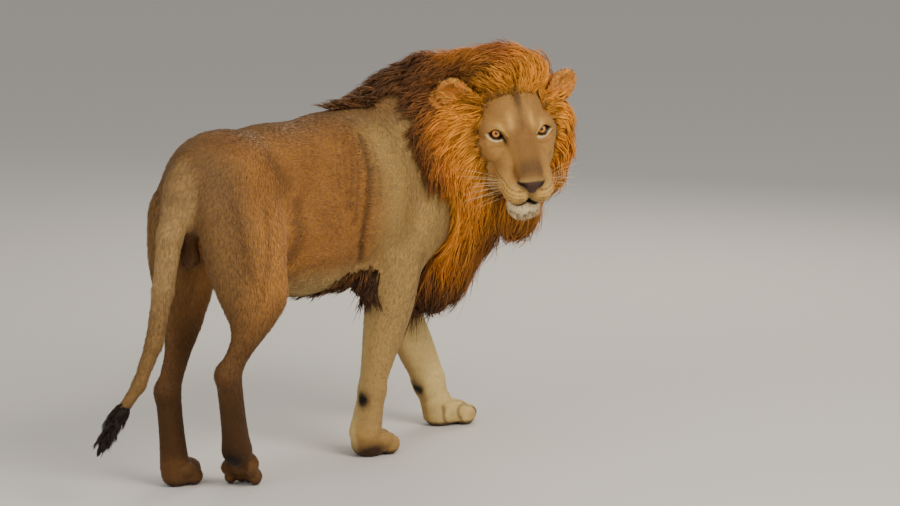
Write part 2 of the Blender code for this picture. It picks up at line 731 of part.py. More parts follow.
def dress(made):
    """Give a node its own Principled material in its own colour."""
    name = made.name
    is_eye = name.startswith("eye")
    key = next((word for word in FUR_COLOURS if name == word), None)
    key = key or next((word for word in ("ear", "hind", "fore", "tail") if name.startswith(word)), "trunk")
    colour = EYE_COLOUR if is_eye else FUR_COLOURS[key]
    material = bpy.data.materials.new(name + "_finish")
    material.use_nodes = True
    shader = material.node_tree.nodes["Principled BSDF"]
    shader.inputs["Base Color"].default_value = (*colour, 1.0)
    shader.inputs["Roughness"].default_value = 0.12 if is_eye else 0.85
    shader.inputs["Metallic"].default_value = 0.0
    made.data.materials.clear()
    made.data.materials.append(material)


def main():
    """Model the lion and part it into its nodes."""
    for item in list(bpy.data.objects):
        bpy.data.objects.remove(item, do_unlink=True)
    body = whole_body()
    stand_flat(body)
    body.name = "trunk"
    pieces = part_pouch(body)
    pieces += part_tail(body)
    hind = (("_thigh",), ("_shank", "knee", "hock"), ("_paw", "hock", "ball"))
    fore = (("_forearm",), ("_paw", "wrist", "ball"))
    for side, word in ((1, "left"), (-1, "right")):
        lean = 0.045 if word == "right" else 0.0
        reach = (-0.80, -0.262, 0.50, 0.955, (lean, lean))
        pieces += part_leg(body, "hind_" + word, side, reach, HIND_LEGS[word], hind)
    for side, word, back, front, lean in ((1, "left", 0.20, 1.0, 0.25), (-1, "right", 0.02, 0.40, 0.0)):
        reach = (back, front, 0.457, 0.70, (0.0, lean))
        pieces += part_leg(body, "fore_" + word, side, reach, FORE_LEGS[word], fore)
    pieces += part_head(body)
    pieces += part_mane(body)
    pieces.append(body)
    for made in pieces:
        keep_largest(made)
        dress(made)
    centre_on_floor(pieces)
    for made in pieces:
        made.data.shade_smooth()


main()
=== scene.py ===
"""The looks of a life-size male lion, walking and looking back over its right side.

The animal faces -Y and its left side is +X. Places on the body are given by how far they
lie forward, left and up, in metres; places on the head by how far they lie ahead, left and
up of the middle of the eyes. One skin covers the whole animal. Over it lie the short coat,
the mane, the fringes and the tail tuft, as closed tapering tufts and locks that follow the
lie of the hair. Markings are functions of place, shared by the skin and the coat.
"""
from __future__ import annotations

import logging
import math
from dataclasses import dataclass, field
from enum import Enum
from itertools import pairwise
from typing import Callable, Sequence

import bpy
import numpy as np
from mathutils import Matrix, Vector
from mathutils.bvhtree import BVHTree


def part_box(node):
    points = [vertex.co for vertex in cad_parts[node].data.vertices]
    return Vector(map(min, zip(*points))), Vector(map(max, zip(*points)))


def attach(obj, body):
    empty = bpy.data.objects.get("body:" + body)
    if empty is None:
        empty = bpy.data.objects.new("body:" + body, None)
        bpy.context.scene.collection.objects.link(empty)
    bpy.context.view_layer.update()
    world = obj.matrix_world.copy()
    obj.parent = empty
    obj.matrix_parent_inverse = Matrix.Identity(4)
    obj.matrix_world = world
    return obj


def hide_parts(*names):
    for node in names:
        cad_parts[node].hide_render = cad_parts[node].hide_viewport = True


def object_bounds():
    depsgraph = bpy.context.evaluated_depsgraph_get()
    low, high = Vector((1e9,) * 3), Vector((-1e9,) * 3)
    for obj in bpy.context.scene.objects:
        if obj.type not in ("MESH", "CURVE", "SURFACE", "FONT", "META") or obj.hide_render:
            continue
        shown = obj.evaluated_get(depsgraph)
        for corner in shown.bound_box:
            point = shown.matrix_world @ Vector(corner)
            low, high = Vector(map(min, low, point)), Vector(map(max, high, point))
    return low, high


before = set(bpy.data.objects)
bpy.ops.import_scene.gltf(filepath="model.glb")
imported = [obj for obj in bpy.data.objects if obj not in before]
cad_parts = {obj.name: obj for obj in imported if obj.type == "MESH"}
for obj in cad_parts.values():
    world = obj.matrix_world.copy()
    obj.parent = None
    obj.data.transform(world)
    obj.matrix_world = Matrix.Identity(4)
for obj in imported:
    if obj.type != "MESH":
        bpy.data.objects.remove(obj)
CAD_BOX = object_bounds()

log = logging.getLogger("lion")
Array = np.ndarray
Point = Sequence[float]
Field = Callable[[Array], Array]
Joints = dict[str, tuple[float, float, float]]
Material, NodeTree, Object = bpy.types.Material, bpy.types.NodeTree, bpy.types.Object

# Driving sizes, in metres, as the frame was built to them
HIP_UP = 0.86
SHOULDER_UP = 0.77
RUMP_FORWARD = -0.46
BLADE_FORWARD = 0.30
HALF_WIDTH = 0.20
EYE_MIDDLE = (0.535, -0.39, 0.985)
EYE_HALF_GAP = 0.073
EYE_RADIUS = 0.0185
EYE_AHEAD = -0.003
HEAD_TURN = math.radians(-127)
HEAD_DROP = math.radians(28)
HEAD_TILT = math.radians(4)
RUFF_REACH = 0.225
# Half length of the eye's opening, and its height over and under the middle
EYE_OPENING = (0.0205, 0.0138, 0.0118)
EARS = {
    1: ((-0.134, 0.171, 0.062), (-0.35, 0.55, 0.60)),
    -1: ((-0.134, -0.181, 0.072), (-0.25, -0.80, 0.56)),
}
EYE_LIFT = 0.0035
POUCH = (-0.578, 0.0, 0.722)
SEED = 20
COAT_SEED = 60
# How far locks and whiskers may reach past the frame's box, and how far over the floor they end
LOCK_ROOM, WHISKER_ROOM, FLOOR_ROOM = 0.02, 0.024, 0.003
# How wide and high a patch of the unwrapped skin one tuft or strand covers, as a share of the whole
PATCH = 0.003

HIND_LEGS = {
    "right": {"hip": (RUMP_FORWARD, -0.105, HIP_UP), "knee": (-0.415, -0.150, 0.575),
              "hock": (-0.537, -0.102, 0.365), "ball": (-0.425, -0.047, 0.110),
              "toe": (-0.355, -0.022, 0.035)},
    "left": {"hip": (RUMP_FORWARD, 0.105, HIP_UP), "knee": (-0.385, 0.152, 0.560),
             "hock": (-0.545, 0.118, 0.290), "ball": (-0.510, 0.120, 0.062), "toe": (-0.445, 0.120, 0.035)},
}
FORE_LEGS = {
    "right": {"blade": (BLADE_FORWARD, -0.075, 1.03), "shoulder": (0.46, -0.148, SHOULDER_UP),
              "elbow": (0.22, -0.152, 0.58), "wrist": (0.168, -0.105, 0.205),
              "ball": (0.160, -0.090, 0.065), "toe": (0.247, -0.087, 0.035)},
    "left": {"blade": (BLADE_FORWARD, 0.075, 1.03), "shoulder": (0.49, 0.148, SHOULDER_UP),
             "elbow": (0.49, 0.130, 0.560), "wrist": (0.635, 0.020, 0.150),
             "ball": (0.662, 0.000, 0.065), "toe": (0.757, -0.030, 0.035)},
}
TAIL = ((-0.570, 0.000, 0.985, 0.055), (-0.632, 0.000, 0.900, 0.048), (-0.670, 0.005, 0.780, 0.040),
        (-0.693, 0.015, 0.620, 0.033), (-0.715, 0.030, 0.470, 0.028), (-0.755, 0.055, 0.350, 0.023),
        (-0.800, 0.080, 0.280, 0.020), (-0.825, 0.090, 0.245, 0.018))
TAIL_TIP = (-0.897, 0.106, 0.145)
HIND_PAW_HALF, FORE_PAW_HALF = 0.047, 0.056
TOE_SPREAD = 0.78
WHISKER_ROW = 0.0125
FACE_MIDDLE = (-0.08, 0.0, -0.03)
RUFF_MASSES = 18
# Ahead, aside and up along one nostril's slit
NOSTRIL_CUT = ((0.191, 0.018, -0.076), (0.180, 0.032, -0.069), (0.160, 0.046, -0.077))


def unit(vectors: Array) -> Array:
    """Vectors scaled to length one, along the last axis."""
    return vectors / np.maximum(np.linalg.norm(vectors, axis=-1, keepdims=True), 1e-9)


def toward(forward: float, left: float, up: float) -> Array:
    """A direction given as forward, left and up."""
    return np.array([left, -forward, up], float)


def head_axes() -> Array:
    """The head's ahead, left and up directions, one to a row."""
    ahead = toward(math.cos(HEAD_DROP) * math.cos(HEAD_TURN), math.cos(HEAD_DROP) * math.sin(HEAD_TURN),
                   -math.sin(HEAD_DROP))
    level = toward(-math.sin(HEAD_TURN), math.cos(HEAD_TURN), 0.0)
    left = level * math.cos(HEAD_TILT) + np.cross(ahead, level) * math.sin(HEAD_TILT)
    return np.array([ahead, left, np.cross(ahead, left)])


HEAD = head_axes()
DOWN = toward(0, 0, -1)
BODY = np.array([toward(1, 0, 0), toward(0, 1, 0), toward(0, 0, 1)])
_CORNERS = [np.array(corner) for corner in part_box("eye_left")]
# The frame stands centred over the origin; the left eye tells by how much it was moved
ORIGIN = (_CORNERS[0] + _CORNERS[1]) / 2 - toward(*EYE_MIDDLE) - HEAD[0] * EYE_AHEAD - HEAD[1] * EYE_HALF_GAP


def place(forward: float, left: float, up: float) -> Array:
    """The point that lies forward, left and up of the body's origin on the floor."""
    return ORIGIN + toward(forward, left, up)


def in_head(ahead: float, left: float, up: float) -> Array:
    """The point that lies ahead, left and up of the middle of the eyes."""
    return place(*EYE_MIDDLE) + np.array([ahead, left, up]) @ HEAD


def body_coordinates(points: Array) -> Array:
    """Forward, left and up of each point, as columns."""
    return (points - ORIGIN) @ BODY.T


def head_coordinates(points: Array) -> Array:
    """Ahead, left and up of each point in the head's frame, as columns."""
    return (points - place(*EYE_MIDDLE)) @ HEAD.T


def head_distance(points: Array, ahead: float, left: float, up: float) -> Array:
    """How far each point lies from a place on the head."""
    return np.linalg.norm(head_coordinates(points) - (ahead, left, up), axis=1)


def eye_centre(side: int) -> Array:
    """The middle of one eyeball."""
    return in_head(EYE_AHEAD, EYE_HALF_GAP * side, 0.0)


def ramp(value: Array, start: float, end: float) -> Array:
    """0 at start, 1 at end, easing in and out between them by 3t^2 - 2t^3."""
    share = np.clip((value - start) / (end - start), 0.0, 1.0)
    return share * share * (3.0 - 2.0 * share)


def near(points: Array, centre: Array, radii: Point, axes: Array = BODY) -> Array:
    """1 at a centre, falling as exp(-r^2) with r measured in radii along the axes."""
    local = (points - centre) @ axes.T / np.array(radii)
    return np.exp(-np.sum(local * local, axis=-1))


def beside(point: Point, forward: float = 0, left: float = 0, up: float = 0) -> Array:
    """The place that lies a little from a forward, left, up point."""
    return place(point[0] + forward, point[1] + left, point[2] + up)


def mix(start: Point, end: Point, share: float) -> Point:
    """The tuple at a share of the way from one to another."""
    return tuple(a + (b - a) * share for a, b in zip(start, end))


def segment_distance(points: Array, start: Array, end: Array) -> Array:
    """How far points lie from a straight segment.

    Args:
        points: Points in any number of dimensions, one to a row.
        start: The segment's first end.
        end: Its other end.

    Returns:
        The distance of each point.
    """
    axis = end - start
    share = np.clip((points - start) @ axis / (axis @ axis), 0.0, 1.0)
    return np.linalg.norm(points - start - share[:, None] * axis, axis=1)


def chain_distance(points: Array, chain: Sequence[Point]) -> Array:
    """Distance to a line of straight spans."""
    return np.min([segment_distance(points, np.array(a), np.array(b)) for a, b in pairwise(chain)], axis=0)


def pairs(*values: Array) -> list[Array]:
    """Every pairing of the values, the last changing fastest, as one column for each."""
    return [grid.ravel() for grid in np.meshgrid(*values, indexing="ij")]


def everywhere(value: Array | float) -> Field:
    """A field with the same value at every point."""
    return lambda points: np.full((len(points), *np.shape(value)), value)


TAIL_LINE = [place(*point[:3]) for point in TAIL] + [place(*TAIL_TIP)]


# ---- masses

@dataclass(frozen=True)
class Egg:
    """An ellipsoid with its three radii along the rows of axes."""

    middle: Array
    radii: Array
    axes: Array

    @property
    def reach(self) -> float:
        """How far the mass extends from its middle."""
        return float(max(self.radii))

    def distance(self, points: Array) -> Array:
        """Near the surface, a(a-1)/b with a = |p/r| and b = |p/r^2| is the distance to it."""
        local = (points - self.middle) @ self.axes.T
        once = np.linalg.norm(local / self.radii, axis=-1)
        twice = np.linalg.norm(local / self.radii ** 2, axis=-1)
        return once * (once - 1.0) / np.maximum(twice, 1e-6)


@dataclass(frozen=True)
class Limb:
    """A bar with round ends whose radius changes along it, flattened by two factors."""

    start: Array
    end: Array
    table: Array
    side: Array
    flat: tuple[float, float]

    @property
    def middle(self) -> Array:
        """The middle of the bar."""
        return (self.start + self.end) / 2

    @property
    def reach(self) -> float:
        """How far the mass extends from its middle."""
        return float(np.linalg.norm(self.end - self.start) / 2 + self.table.max() * max(self.flat))

    def distance(self, points: Array) -> Array:
        """Distance to the axis in the flattened section, less the radius read there."""
        length = float(np.linalg.norm(self.end - self.start))
        axis = (self.end - self.start) / length
        across = unit(self.side - axis * (self.side @ axis))
        local = (points - self.start) @ np.array([axis, across, np.cross(axis, across)]).T
        share = np.clip(local[:, 0] / length, 0.0, 1.0)
        radius = np.interp(share, np.linspace(0.0, 1.0, len(self.table)), self.table)
        beyond = local[:, 0] - share * length
        spread = np.sqrt((local[:, 1] / self.flat[0]) ** 2 + (local[:, 2] / self.flat[1]) ** 2 + beyond ** 2)
        return (spread - radius) * min(*self.flat, 1.0)


@dataclass(frozen=True)
class Slit:
    """The almond opening between two eyelids: the space between two arcs, in front of the eye."""

    middle: Array
    axes: Array
    half_length: float
    above: float
    below: float

    @property
    def reach(self) -> float:
        """How far the opening extends from its middle."""
        return self.half_length * 1.5

    def distance(self, points: Array) -> Array:
        """How far outside the arcs y = h(1 - (x/a)^2) a point lies."""
        along, up, out = ((points - self.middle) @ self.axes.T).T
        bow = np.maximum(1.0 - (along / self.half_length) ** 2, -0.3)
        arcs = np.maximum(up - self.above * bow, -up - self.below * bow)
        return np.maximum(np.maximum(arcs, np.abs(along) - self.half_length), -out)


def limb_table(radii: Point) -> Array:
    """Radii read at thirteen even places along a limb, their graph's corners rounded off."""
    table = np.interp(np.linspace(0.0, 1.0, 13), np.linspace(0.0, 1.0, len(radii)), radii)
    for _ in range(2):
        table[1:-1] = 0.25 * table[:-2] + 0.5 * table[1:-1] + 0.25 * table[2:]
    return table


def joined(first: Array, second: Array, blend: float) -> Array:
    """The smaller of two distances, filled by h^3 k/6 where they differ by less than k."""
    overlap = np.maximum(blend - np.abs(first - second), 0.0) / blend
    return np.minimum(first, second) - overlap ** 3 * blend / 6.0


@dataclass(frozen=True)
class Mass:
    """One shape of the sculpture: added with a blend, less the coat that lies over it, or carved."""

    shape: Egg | Limb | Slit
    blend: float
    coat: float
    carved: bool = False


@dataclass
class Sculpture:
    """A surface given as the zero of a distance built up from masses."""

    masses: list[Mass] = field(default_factory=list)
    coat: float = 0.005
    blend: float = 0.02
    far: float = 0.5

    def egg(self, middle: Array, radii: Point, axes: Array = BODY, carved: bool = False,
            blend: float | None = None) -> None:
        """Add an ellipsoid."""
        self.masses.append(Mass(Egg(middle, np.array(radii), axes), blend or self.blend, self.coat, carved))

    def limb(self, start: Array, end: Array, radii: Point, side: Array = BODY[1],
             flat: tuple[float, float] = (1.0, 1.0), carved: bool = False,
             blend: float | None = None) -> None:
        """Add a rounded bar."""
        shape = Limb(start, end, limb_table(radii), side, flat)
        self.masses.append(Mass(shape, blend or self.blend, self.coat, carved))

    def bars(self, *rows: tuple[Point, Point, Point, Point, tuple[float, float]]) -> None:
        """Add rounded bars, each given by its ends on the body, radii, side and flattening."""
        for start, end, radii, side, flat in rows:
            self.limb(place(*start), place(*end), radii, toward(*side), flat)

    def head_egg(self, spot: Point, radii: Point, blend: float | None = None) -> None:
        """Add an ellipsoid whose place and directions are the head's."""
        self.egg(in_head(*spot), radii, HEAD, blend=blend)

    def head_limb(self, start: Point, end: Point, radii: Point, flat: tuple[float, float] = (1.0, 1.0),
                  carved: bool = False, blend: float | None = None) -> None:
        """Add a rounded bar between two places on the head, or carve one."""
        self.limb(in_head(*start), in_head(*end), radii, HEAD[1], flat, carved, blend)

    def distance(self, points: Array) -> Array:
        """Distance of each point to the surface, negative inside.

        Args:
            points: Points, one to a row.

        Returns:
            One distance to a point; far from every mass it is simply large.
        """
        total = np.full(len(points), self.far)
        for mass in self.masses:
            reach = mass.shape.reach + mass.blend + 0.05
            offset = points - mass.shape.middle
            close = np.nonzero(np.einsum("ij,ij->i", offset, offset) < reach * reach)[0]
            if len(close):
                total[close] = self.combine(total[close], mass, points[close])
        return total

    def combine(self, total: Array, mass: Mass, points: Array) -> Array:
        """Join one mass to, or carve it from, distances found so far."""
        own = mass.shape.distance(points)
        if mass.carved:
            return -joined(-total, own, mass.blend)
        return joined(total, own + mass.coat, mass.blend)

    def on_grid(self, lines: Sequence[Array]) -> Array:
        """The distance at every crossing of three sets of grid lines, each mass only near itself."""
        step = lines[0][1] - lines[0][0]
        total = np.full([len(line) for line in lines], self.far)
        for mass in self.masses:
            reach = mass.shape.reach + mass.blend + 3.0 * step
            spans = [slice(*np.searchsorted(line, (middle - reach, middle + reach)))
                     for line, middle in zip(lines, mass.shape.middle)]
            chosen = [line[span] for line, span in zip(lines, spans)]
            if min(len(line) for line in chosen) == 0:
                continue
            points = np.stack(np.meshgrid(*chosen, indexing="ij"), -1)
            window = total[tuple(spans)]
            found = self.combine(window.ravel(), mass, points.reshape(-1, 3))
            total[tuple(spans)] = found.reshape(window.shape)
        return total

    def slope(self, points: Array, step: float = 0.0008) -> tuple[Array, Array]:
        """Distance and outward direction at points, from four samples round each.

        The samples stand at the corners k of a small tetrahedron, and the sum of k times the
        distance there points outwards.
        """
        corners = np.array([(1, -1, -1), (-1, -1, 1), (-1, 1, -1), (1, 1, 1)], float)
        values = np.array([self.distance(points + corner * step) for corner in corners])
        return values.mean(axis=0), unit(np.einsum("ki,kj->ij", values, corners))


# ---- meshes as arrays

def surface_nets(lines: Sequence[Array], values: Array) -> tuple[Array, Array]:
    """The zero surface of values on a grid, as points and triangles.

    Each cell that the surface crosses gets one point, the mean of the crossings on its twelve
    edges, and each crossed edge of the grid gets a four-sided face between its four cells.

    Args:
        lines: The grid lines along x, y and z.
        values: The distance at each crossing of the lines.

    Returns:
        The points, and the triangles as rows of three indices.
    """
    shape = tuple(side - 1 for side in values.shape)

    def cells(index: Array, axes: list[int], steps: tuple[int, int]) -> Array:
        """Numbers of the cells that lie some steps along two axes from the crossed edges."""
        cell = index.copy()
        cell[:, axes] += steps
        return np.ravel_multi_index(tuple(cell.T), shape)

    sums = np.zeros((math.prod(shape), 3))
    counts = np.zeros(len(sums))
    crossings = []
    for axis in range(3):
        here, there = (np.take(values, range(first, first + shape[axis]), axis) for first in (0, 1))
        index = np.stack(np.nonzero((here < 0) != (there < 0)), -1)
        at = tuple(index.T)
        share = here[at] / (here[at] - there[at])
        points = np.stack([line[index[:, k]] for k, line in enumerate(lines)], -1)
        points[:, axis] += share * (lines[axis][1] - lines[axis][0])
        crossings.append((index, here[at] < 0))
        others = [k for k in range(3) if k != axis]
        for steps in ((0, 0), (0, -1), (-1, 0), (-1, -1)):
            flat = cells(index, others, steps)
            counts += np.bincount(flat, minlength=len(counts))
            for k in range(3):
                sums[:, k] += np.bincount(flat, points[:, k], minlength=len(counts))
    used = counts > 0
    number = np.cumsum(used) - 1
    quads = []
    for axis, (index, inside) in enumerate(crossings):
        ring = [number[cells(index, [(axis + 1) % 3, (axis + 2) % 3], steps)]
                for steps in ((-1, -1), (0, -1), (0, 0), (-1, 0))]
        quad = np.stack(ring, -1)
        quad[~inside] = quad[~inside][:, ::-1]
        quads.append(quad)
    quad = np.concatenate(quads)
    triangles = np.concatenate([quad[:, [0, 1, 2]], quad[:, [0, 2, 3]]])
    return sums[used] / counts[used][:, None], triangles


def sides_of(triangles: Array) -> Array:
    """The two ends of each triangle's three sides, the lower number first."""
    return np.sort(np.stack([triangles, np.roll(triangles, -1, axis=1)], -1), axis=-1)


def refined(points: Array, triangles: Array, wanted: Array) -> tuple[Array, Array]:
    """Split the wanted triangles in four, and their neighbours so that no gap opens.

    Args:
        points: The mesh's points.
        triangles: Its triangles.
        wanted: True for each triangle to be split.

    Returns:
        New points and triangles.
    """
    edges, which = np.unique(sides_of(triangles).reshape(-1, 2), axis=0, return_inverse=True)
    which = which.reshape(-1, 3)
    split = np.zeros(len(edges), bool)
    split[which[wanted]] = True
    middle = np.cumsum(split) - 1 + len(points)
    flags = split[which]
    count = flags.sum(axis=1)
    # Turn each triangle until its split sides come first
    turn = np.select([(count == 1) & flags[:, 1], (count == 1) & flags[:, 2],
                      (count == 2) & ~flags[:, 0], (count == 2) & ~flags[:, 1]], [1, 2, 1, 2], 0)
    order = (np.arange(3) + turn[:, None]) % 3
    a, b, c = np.take_along_axis(triangles, order, 1).T
    ab, bc, ca = middle[np.take_along_axis(which, order, 1)].T
    parts = []
    for number, faces in ((0, ((a, b, c),)), (1, ((a, ab, c), (ab, b, c))),
                          (2, ((ab, b, bc), (a, ab, bc), (a, bc, c))),
                          (3, ((a, ab, ca), (ab, b, bc), (ca, bc, c), (ab, bc, ca)))):
        chosen = count == number
        parts.extend(np.stack([corner[chosen] for corner in face], -1) for face in faces)
    halves = points[edges[split]].mean(axis=1)
    return np.concatenate([points, halves]), np.concatenate(parts)


def smoothed(points: Array, triangles: Array, share: Array, passes: int) -> Array:
    """Move each point by its share of the way to the mean of its neighbours, several times."""
    edges = np.unique(sides_of(triangles).reshape(-1, 2), axis=0)
    ends, others = np.concatenate([edges, edges[:, ::-1]]).T
    degree = np.bincount(ends, minlength=len(points))
    for _ in range(passes):
        sums = [np.bincount(ends, column[others], minlength=len(points)) for column in points.T]
        means = np.stack(sums, -1)
        points = points + share[:, None] * (means / degree[:, None] - points)
    return points


def point_normals(points: Array, triangles: Array) -> Array:
    """Outward direction at each point, the area-weighted mean of its triangles' normals."""
    a, b, c = (points[triangles[:, k]] for k in range(3))
    faces = np.cross(b - a, c - a)
    corners = triangles.ravel()
    spread = np.repeat(faces, 3, axis=0)
    return unit(np.stack([np.bincount(corners, spread[:, k], minlength=len(points)) for k in range(3)], -1))


def linked(name: str, data: bpy.types.ID) -> Object:
    """A new object in the scene."""
    made = bpy.data.objects.new(name, data)
    bpy.context.scene.collection.objects.link(made)
    return made


def new_object(name: str, points: Array, triangles: Array, material: Material) -> Object:
    """A smooth-shaded object from arrays, riding on the one body.

    Args:
        name: The piece's name.
        points: Its points, in the row frame.
        triangles: Its triangles, outwards.
        material: Its finish.

    Returns:
        The new object, at the origin.
    """
    mesh = bpy.data.meshes.new(name)
    mesh.vertices.add(len(points))
    mesh.vertices.foreach_set("co", points.astype(np.float32).ravel())
    mesh.loops.add(triangles.size)
    mesh.loops.foreach_set("vertex_index", triangles.astype(np.int32).ravel())
    mesh.polygons.add(len(triangles))
    mesh.polygons.foreach_set("loop_start", np.arange(0, triangles.size, 3, dtype=np.int32))
    mesh.update(calc_edges=True)
    mesh.shade_smooth()
    mesh.materials.append(material)
    made = linked(name, mesh)
    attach(made, "root")
    log.info("%s: %d triangles", name, len(triangles))
    return made


def paint(made: Object, name: str, colours: Array) -> None:
    """Write one colour to a point as a named attribute."""
    layer = made.data.color_attributes.new(name, "FLOAT_COLOR", "POINT")
    full = np.concatenate([colours, np.ones((len(colours), 1))], axis=1)
    layer.data.foreach_set("color", full.astype(np.float32).ravel())


def write_uv(made: Object, name: str, uv: Array) -> None:
    """Write one UV place to a corner."""
    made.data.uv_layers.new(name=name).data.foreach_set("uv", uv.astype(np.float32).ravel())


# ---- the animal's masses

@dataclass
class Anatomy:
    """Lays out the masses of the whole animal, each under the depth of coat that covers it."""

    body_coat: float = 0.005
    leg_coat: float = 0.0035
    head_coat: float = 0.0022
    mane_coat: float = 0.030
    ear_coat: float = 0.0012
    body: Sculpture = field(default_factory=Sculpture)
    mane: Sculpture = field(default_factory=Sculpture)
    upper: Sculpture = field(default_factory=Sculpture)
    lower: Sculpture = field(default_factory=Sculpture)

    def __post_init__(self) -> None:
        """Lay out every mass."""
        self.trunk()
        self.body.coat = self.leg_coat
        for side, word in ((1, "left"), (-1, "right")):
            self.hind_leg(side, HIND_LEGS[word])
            self.fore_leg(side, FORE_LEGS[word])
        self.tail()
        self.scrotum()
        self.body.coat = self.body_coat
        self.neck()
        self.body.coat = self.head_coat
        self.head()
        self.face()
        self.mane.coat = self.mane_coat
        self.mane.blend = 0.035
        self.ruff()
        self.fringes()

    def trunk(self) -> None:
        """Rump, loin, belly, ribs, chest and withers."""
        wide = HALF_WIDTH
        self.body.coat = self.body_coat
        for centre, radii in (
            ((-0.43, 0, 0.905), (0.205, 0.82 * wide, 0.165)),
            ((-0.57, 0, 0.89), (0.095, 0.42 * wide, 0.13)),
            ((-0.24, 0, 0.885), (0.26, 0.75 * wide, 0.18)),
            ((0.06, 0, 0.885), (0.26, 0.75 * wide, 0.185)),
            ((-0.12, 0, 0.865), (0.50, 0.68 * wide, 0.195)),
            ((-0.05, 0, 0.745), (0.36, 0.90 * wide, 0.23)),
            ((0.17, 0, 0.785), (0.33, wide, 0.275)),
            ((0.16, 0, 0.94), (0.18, 0.55 * wide, 0.128)),
            ((0.36, 0, 0.78), (0.20, 0.92 * wide, 0.25)),
            ((0.30, 0, 1.0), (0.22, 0.37 * wide, 0.085)),
            ((0.50, 0, 0.74), (0.10, 0.65 * wide, 0.15)),
        ):
            self.body.egg(place(*centre), radii)

    def hind_leg(self, side: int, joints: Joints) -> None:
        """Thigh, hamstring, knee, shank, heel cord, hock, foot and paw."""
        hip, knee, hock, ball, toe = joints.values()
        inward = -0.01 * side
        calf, cord_top = mix(knee, hock, 0.42), mix(knee, hock, 0.35)
        limb, egg = self.body.limb, self.body.egg
        limb(beside(hip, 0, inward, -0.02), beside(knee, -0.02, 0, 0.03),
             (0.135, 0.135, 0.118, 0.088), flat=(0.62, 1.1))
        limb(beside(hip, -0.088, inward, -0.03), beside(calf, -0.02),
             (0.095, 0.105, 0.085, 0.05), flat=(0.66, 1.0))
        egg(beside(knee, 0.010, 0, 0.02), (0.068, 0.058, 0.085))
        limb(beside(knee, -0.01), beside(hock, 0.012, 0, 0.01),
             (0.066, 0.070, 0.052, 0.040, 0.037), flat=(0.78, 1.1))
        limb(beside(cord_top, -0.03, 0, 0.02), beside(hock, -0.030, 0, 0.012),
             (0.036, 0.024, 0.018, 0.020), flat=(0.85, 1.0))
        egg(beside(hock, -0.016), (0.036, 0.033, 0.045))
        limb(place(*hock), beside(ball, -0.004, 0, 0.01), (0.042, 0.041, 0.042, 0.047), flat=(0.94, 1.05))
        self.paw(ball, toe, HIND_PAW_HALF, 0.0250)

    def fore_leg(self, side: int, joints: Joints) -> None:
        """Shoulder blade, upper arm, triceps, forearm, wrist and paw."""
        blade, shoulder, elbow, wrist, ball, toe = joints.values()
        stout = 1.0 + 0.1 * (1 + side)
        limb, egg = self.body.limb, self.body.egg
        limb(beside(blade, 0, 0, -0.02), place(*shoulder), (0.055, 0.085, 0.10, 0.10),
             toward(0, 1, 0.3 * side), (0.55, 1.15))
        egg(beside(shoulder, -0.01), (0.10, 0.072, 0.11))
        limb(beside(shoulder, -0.02), beside(elbow, 0.03, 0, 0.01),
             (0.10, 0.105, 0.09, 0.075), flat=(0.70, 1.05))
        limb(beside(mix(blade, shoulder, 0.35), -0.10, 0.02 * side, -0.02), beside(elbow, -0.005, 0, 0.02),
             (0.07, 0.085, 0.08, 0.05), flat=(0.6, 1.1))
        limb(beside(elbow, 0.01), beside(wrist, 0, 0, 0.015),
             (0.080, 0.090, 0.082, 0.068, 0.056 * stout, 0.047 * stout), flat=(0.84, 1.08))
        egg(beside(elbow, -0.03, 0, 0.03), (0.04, 0.038, 0.045))
        egg(beside(wrist, 0.004), (0.043 * stout, 0.045 * stout, 0.048))
        egg(beside(wrist, -0.041 * stout, 0, -0.012), (0.018, 0.018, 0.022))
        limb(place(*wrist), beside(ball, -0.006, 0, 0.01), (0.045 * stout, 0.046 * stout, 0.049, 0.053))
        self.paw(ball, toe, FORE_PAW_HALF, 0.0295)

    def paw(self, ball: Point, toe: Point, half_width: float, radius: float) -> None:
        """A pad under the ball of the foot and four toes side by side in front of it."""
        egg, low, tip = self.body.egg, np.array(ball), np.array(toe)
        ahead = unit(np.array([tip[0] - low[0], tip[1] - low[1], 0.0]))
        sideways = np.array([-ahead[1], ahead[0], 0.0])
        turned = np.array([toward(*ahead), toward(*sideways), toward(0, 0, 1)])
        planted = low[2] < 0.08
        if planted:
            heel = np.array([low[0], low[1], 0.036]) + ahead * 0.010
            for reach, rise, long, wide, high in (
                (0.0, 0.0, 0.058, 0.98, 0.045),
                (0.035, 0.012, 0.056, 0.95, 0.034),
                (0.034, -0.004, 0.050, 1.12, 0.033),
            ):
                egg(place(*(heel + ahead * reach + (0, 0, rise))), (long, half_width * wide, high), turned)
        else:
            slope = unit(tip - low)
            tipped = np.array([toward(*slope), toward(*sideways), toward(*np.cross(slope, sideways))])
            egg(place(*low), (0.058, half_width * 0.96, 0.043), tipped)
            egg(place(*mix(low, tip, 0.55)), (0.050, half_width * 1.18, 0.036), tipped)
        for step, reach in ((-1.05, -0.020), (-0.36, 0.006), (0.36, 0.006), (1.05, -0.020)):
            end = tip + sideways * half_width * TOE_SPREAD * step + ahead * reach
            end[2] = radius
            knuckle = end - ahead * 0.034
            knuckle[2] = 0.049 if planted else 0.056
            egg(place(*end), (radius * 1.36, radius * 0.86, radius * 1.12), turned, blend=0.006)
            egg(place(*knuckle), (radius * 1.3, radius * 0.84, radius), turned, blend=0.008)

    def tail(self) -> None:
        """The hanging tail, down into its tuft."""
        for first, second in pairwise(TAIL):
            self.body.limb(place(*first[:3]), place(*second[:3]), (first[3], second[3]))
        self.body.limb(*TAIL_LINE[-2:], (0.019, 0.020, 0.016, 0.004))

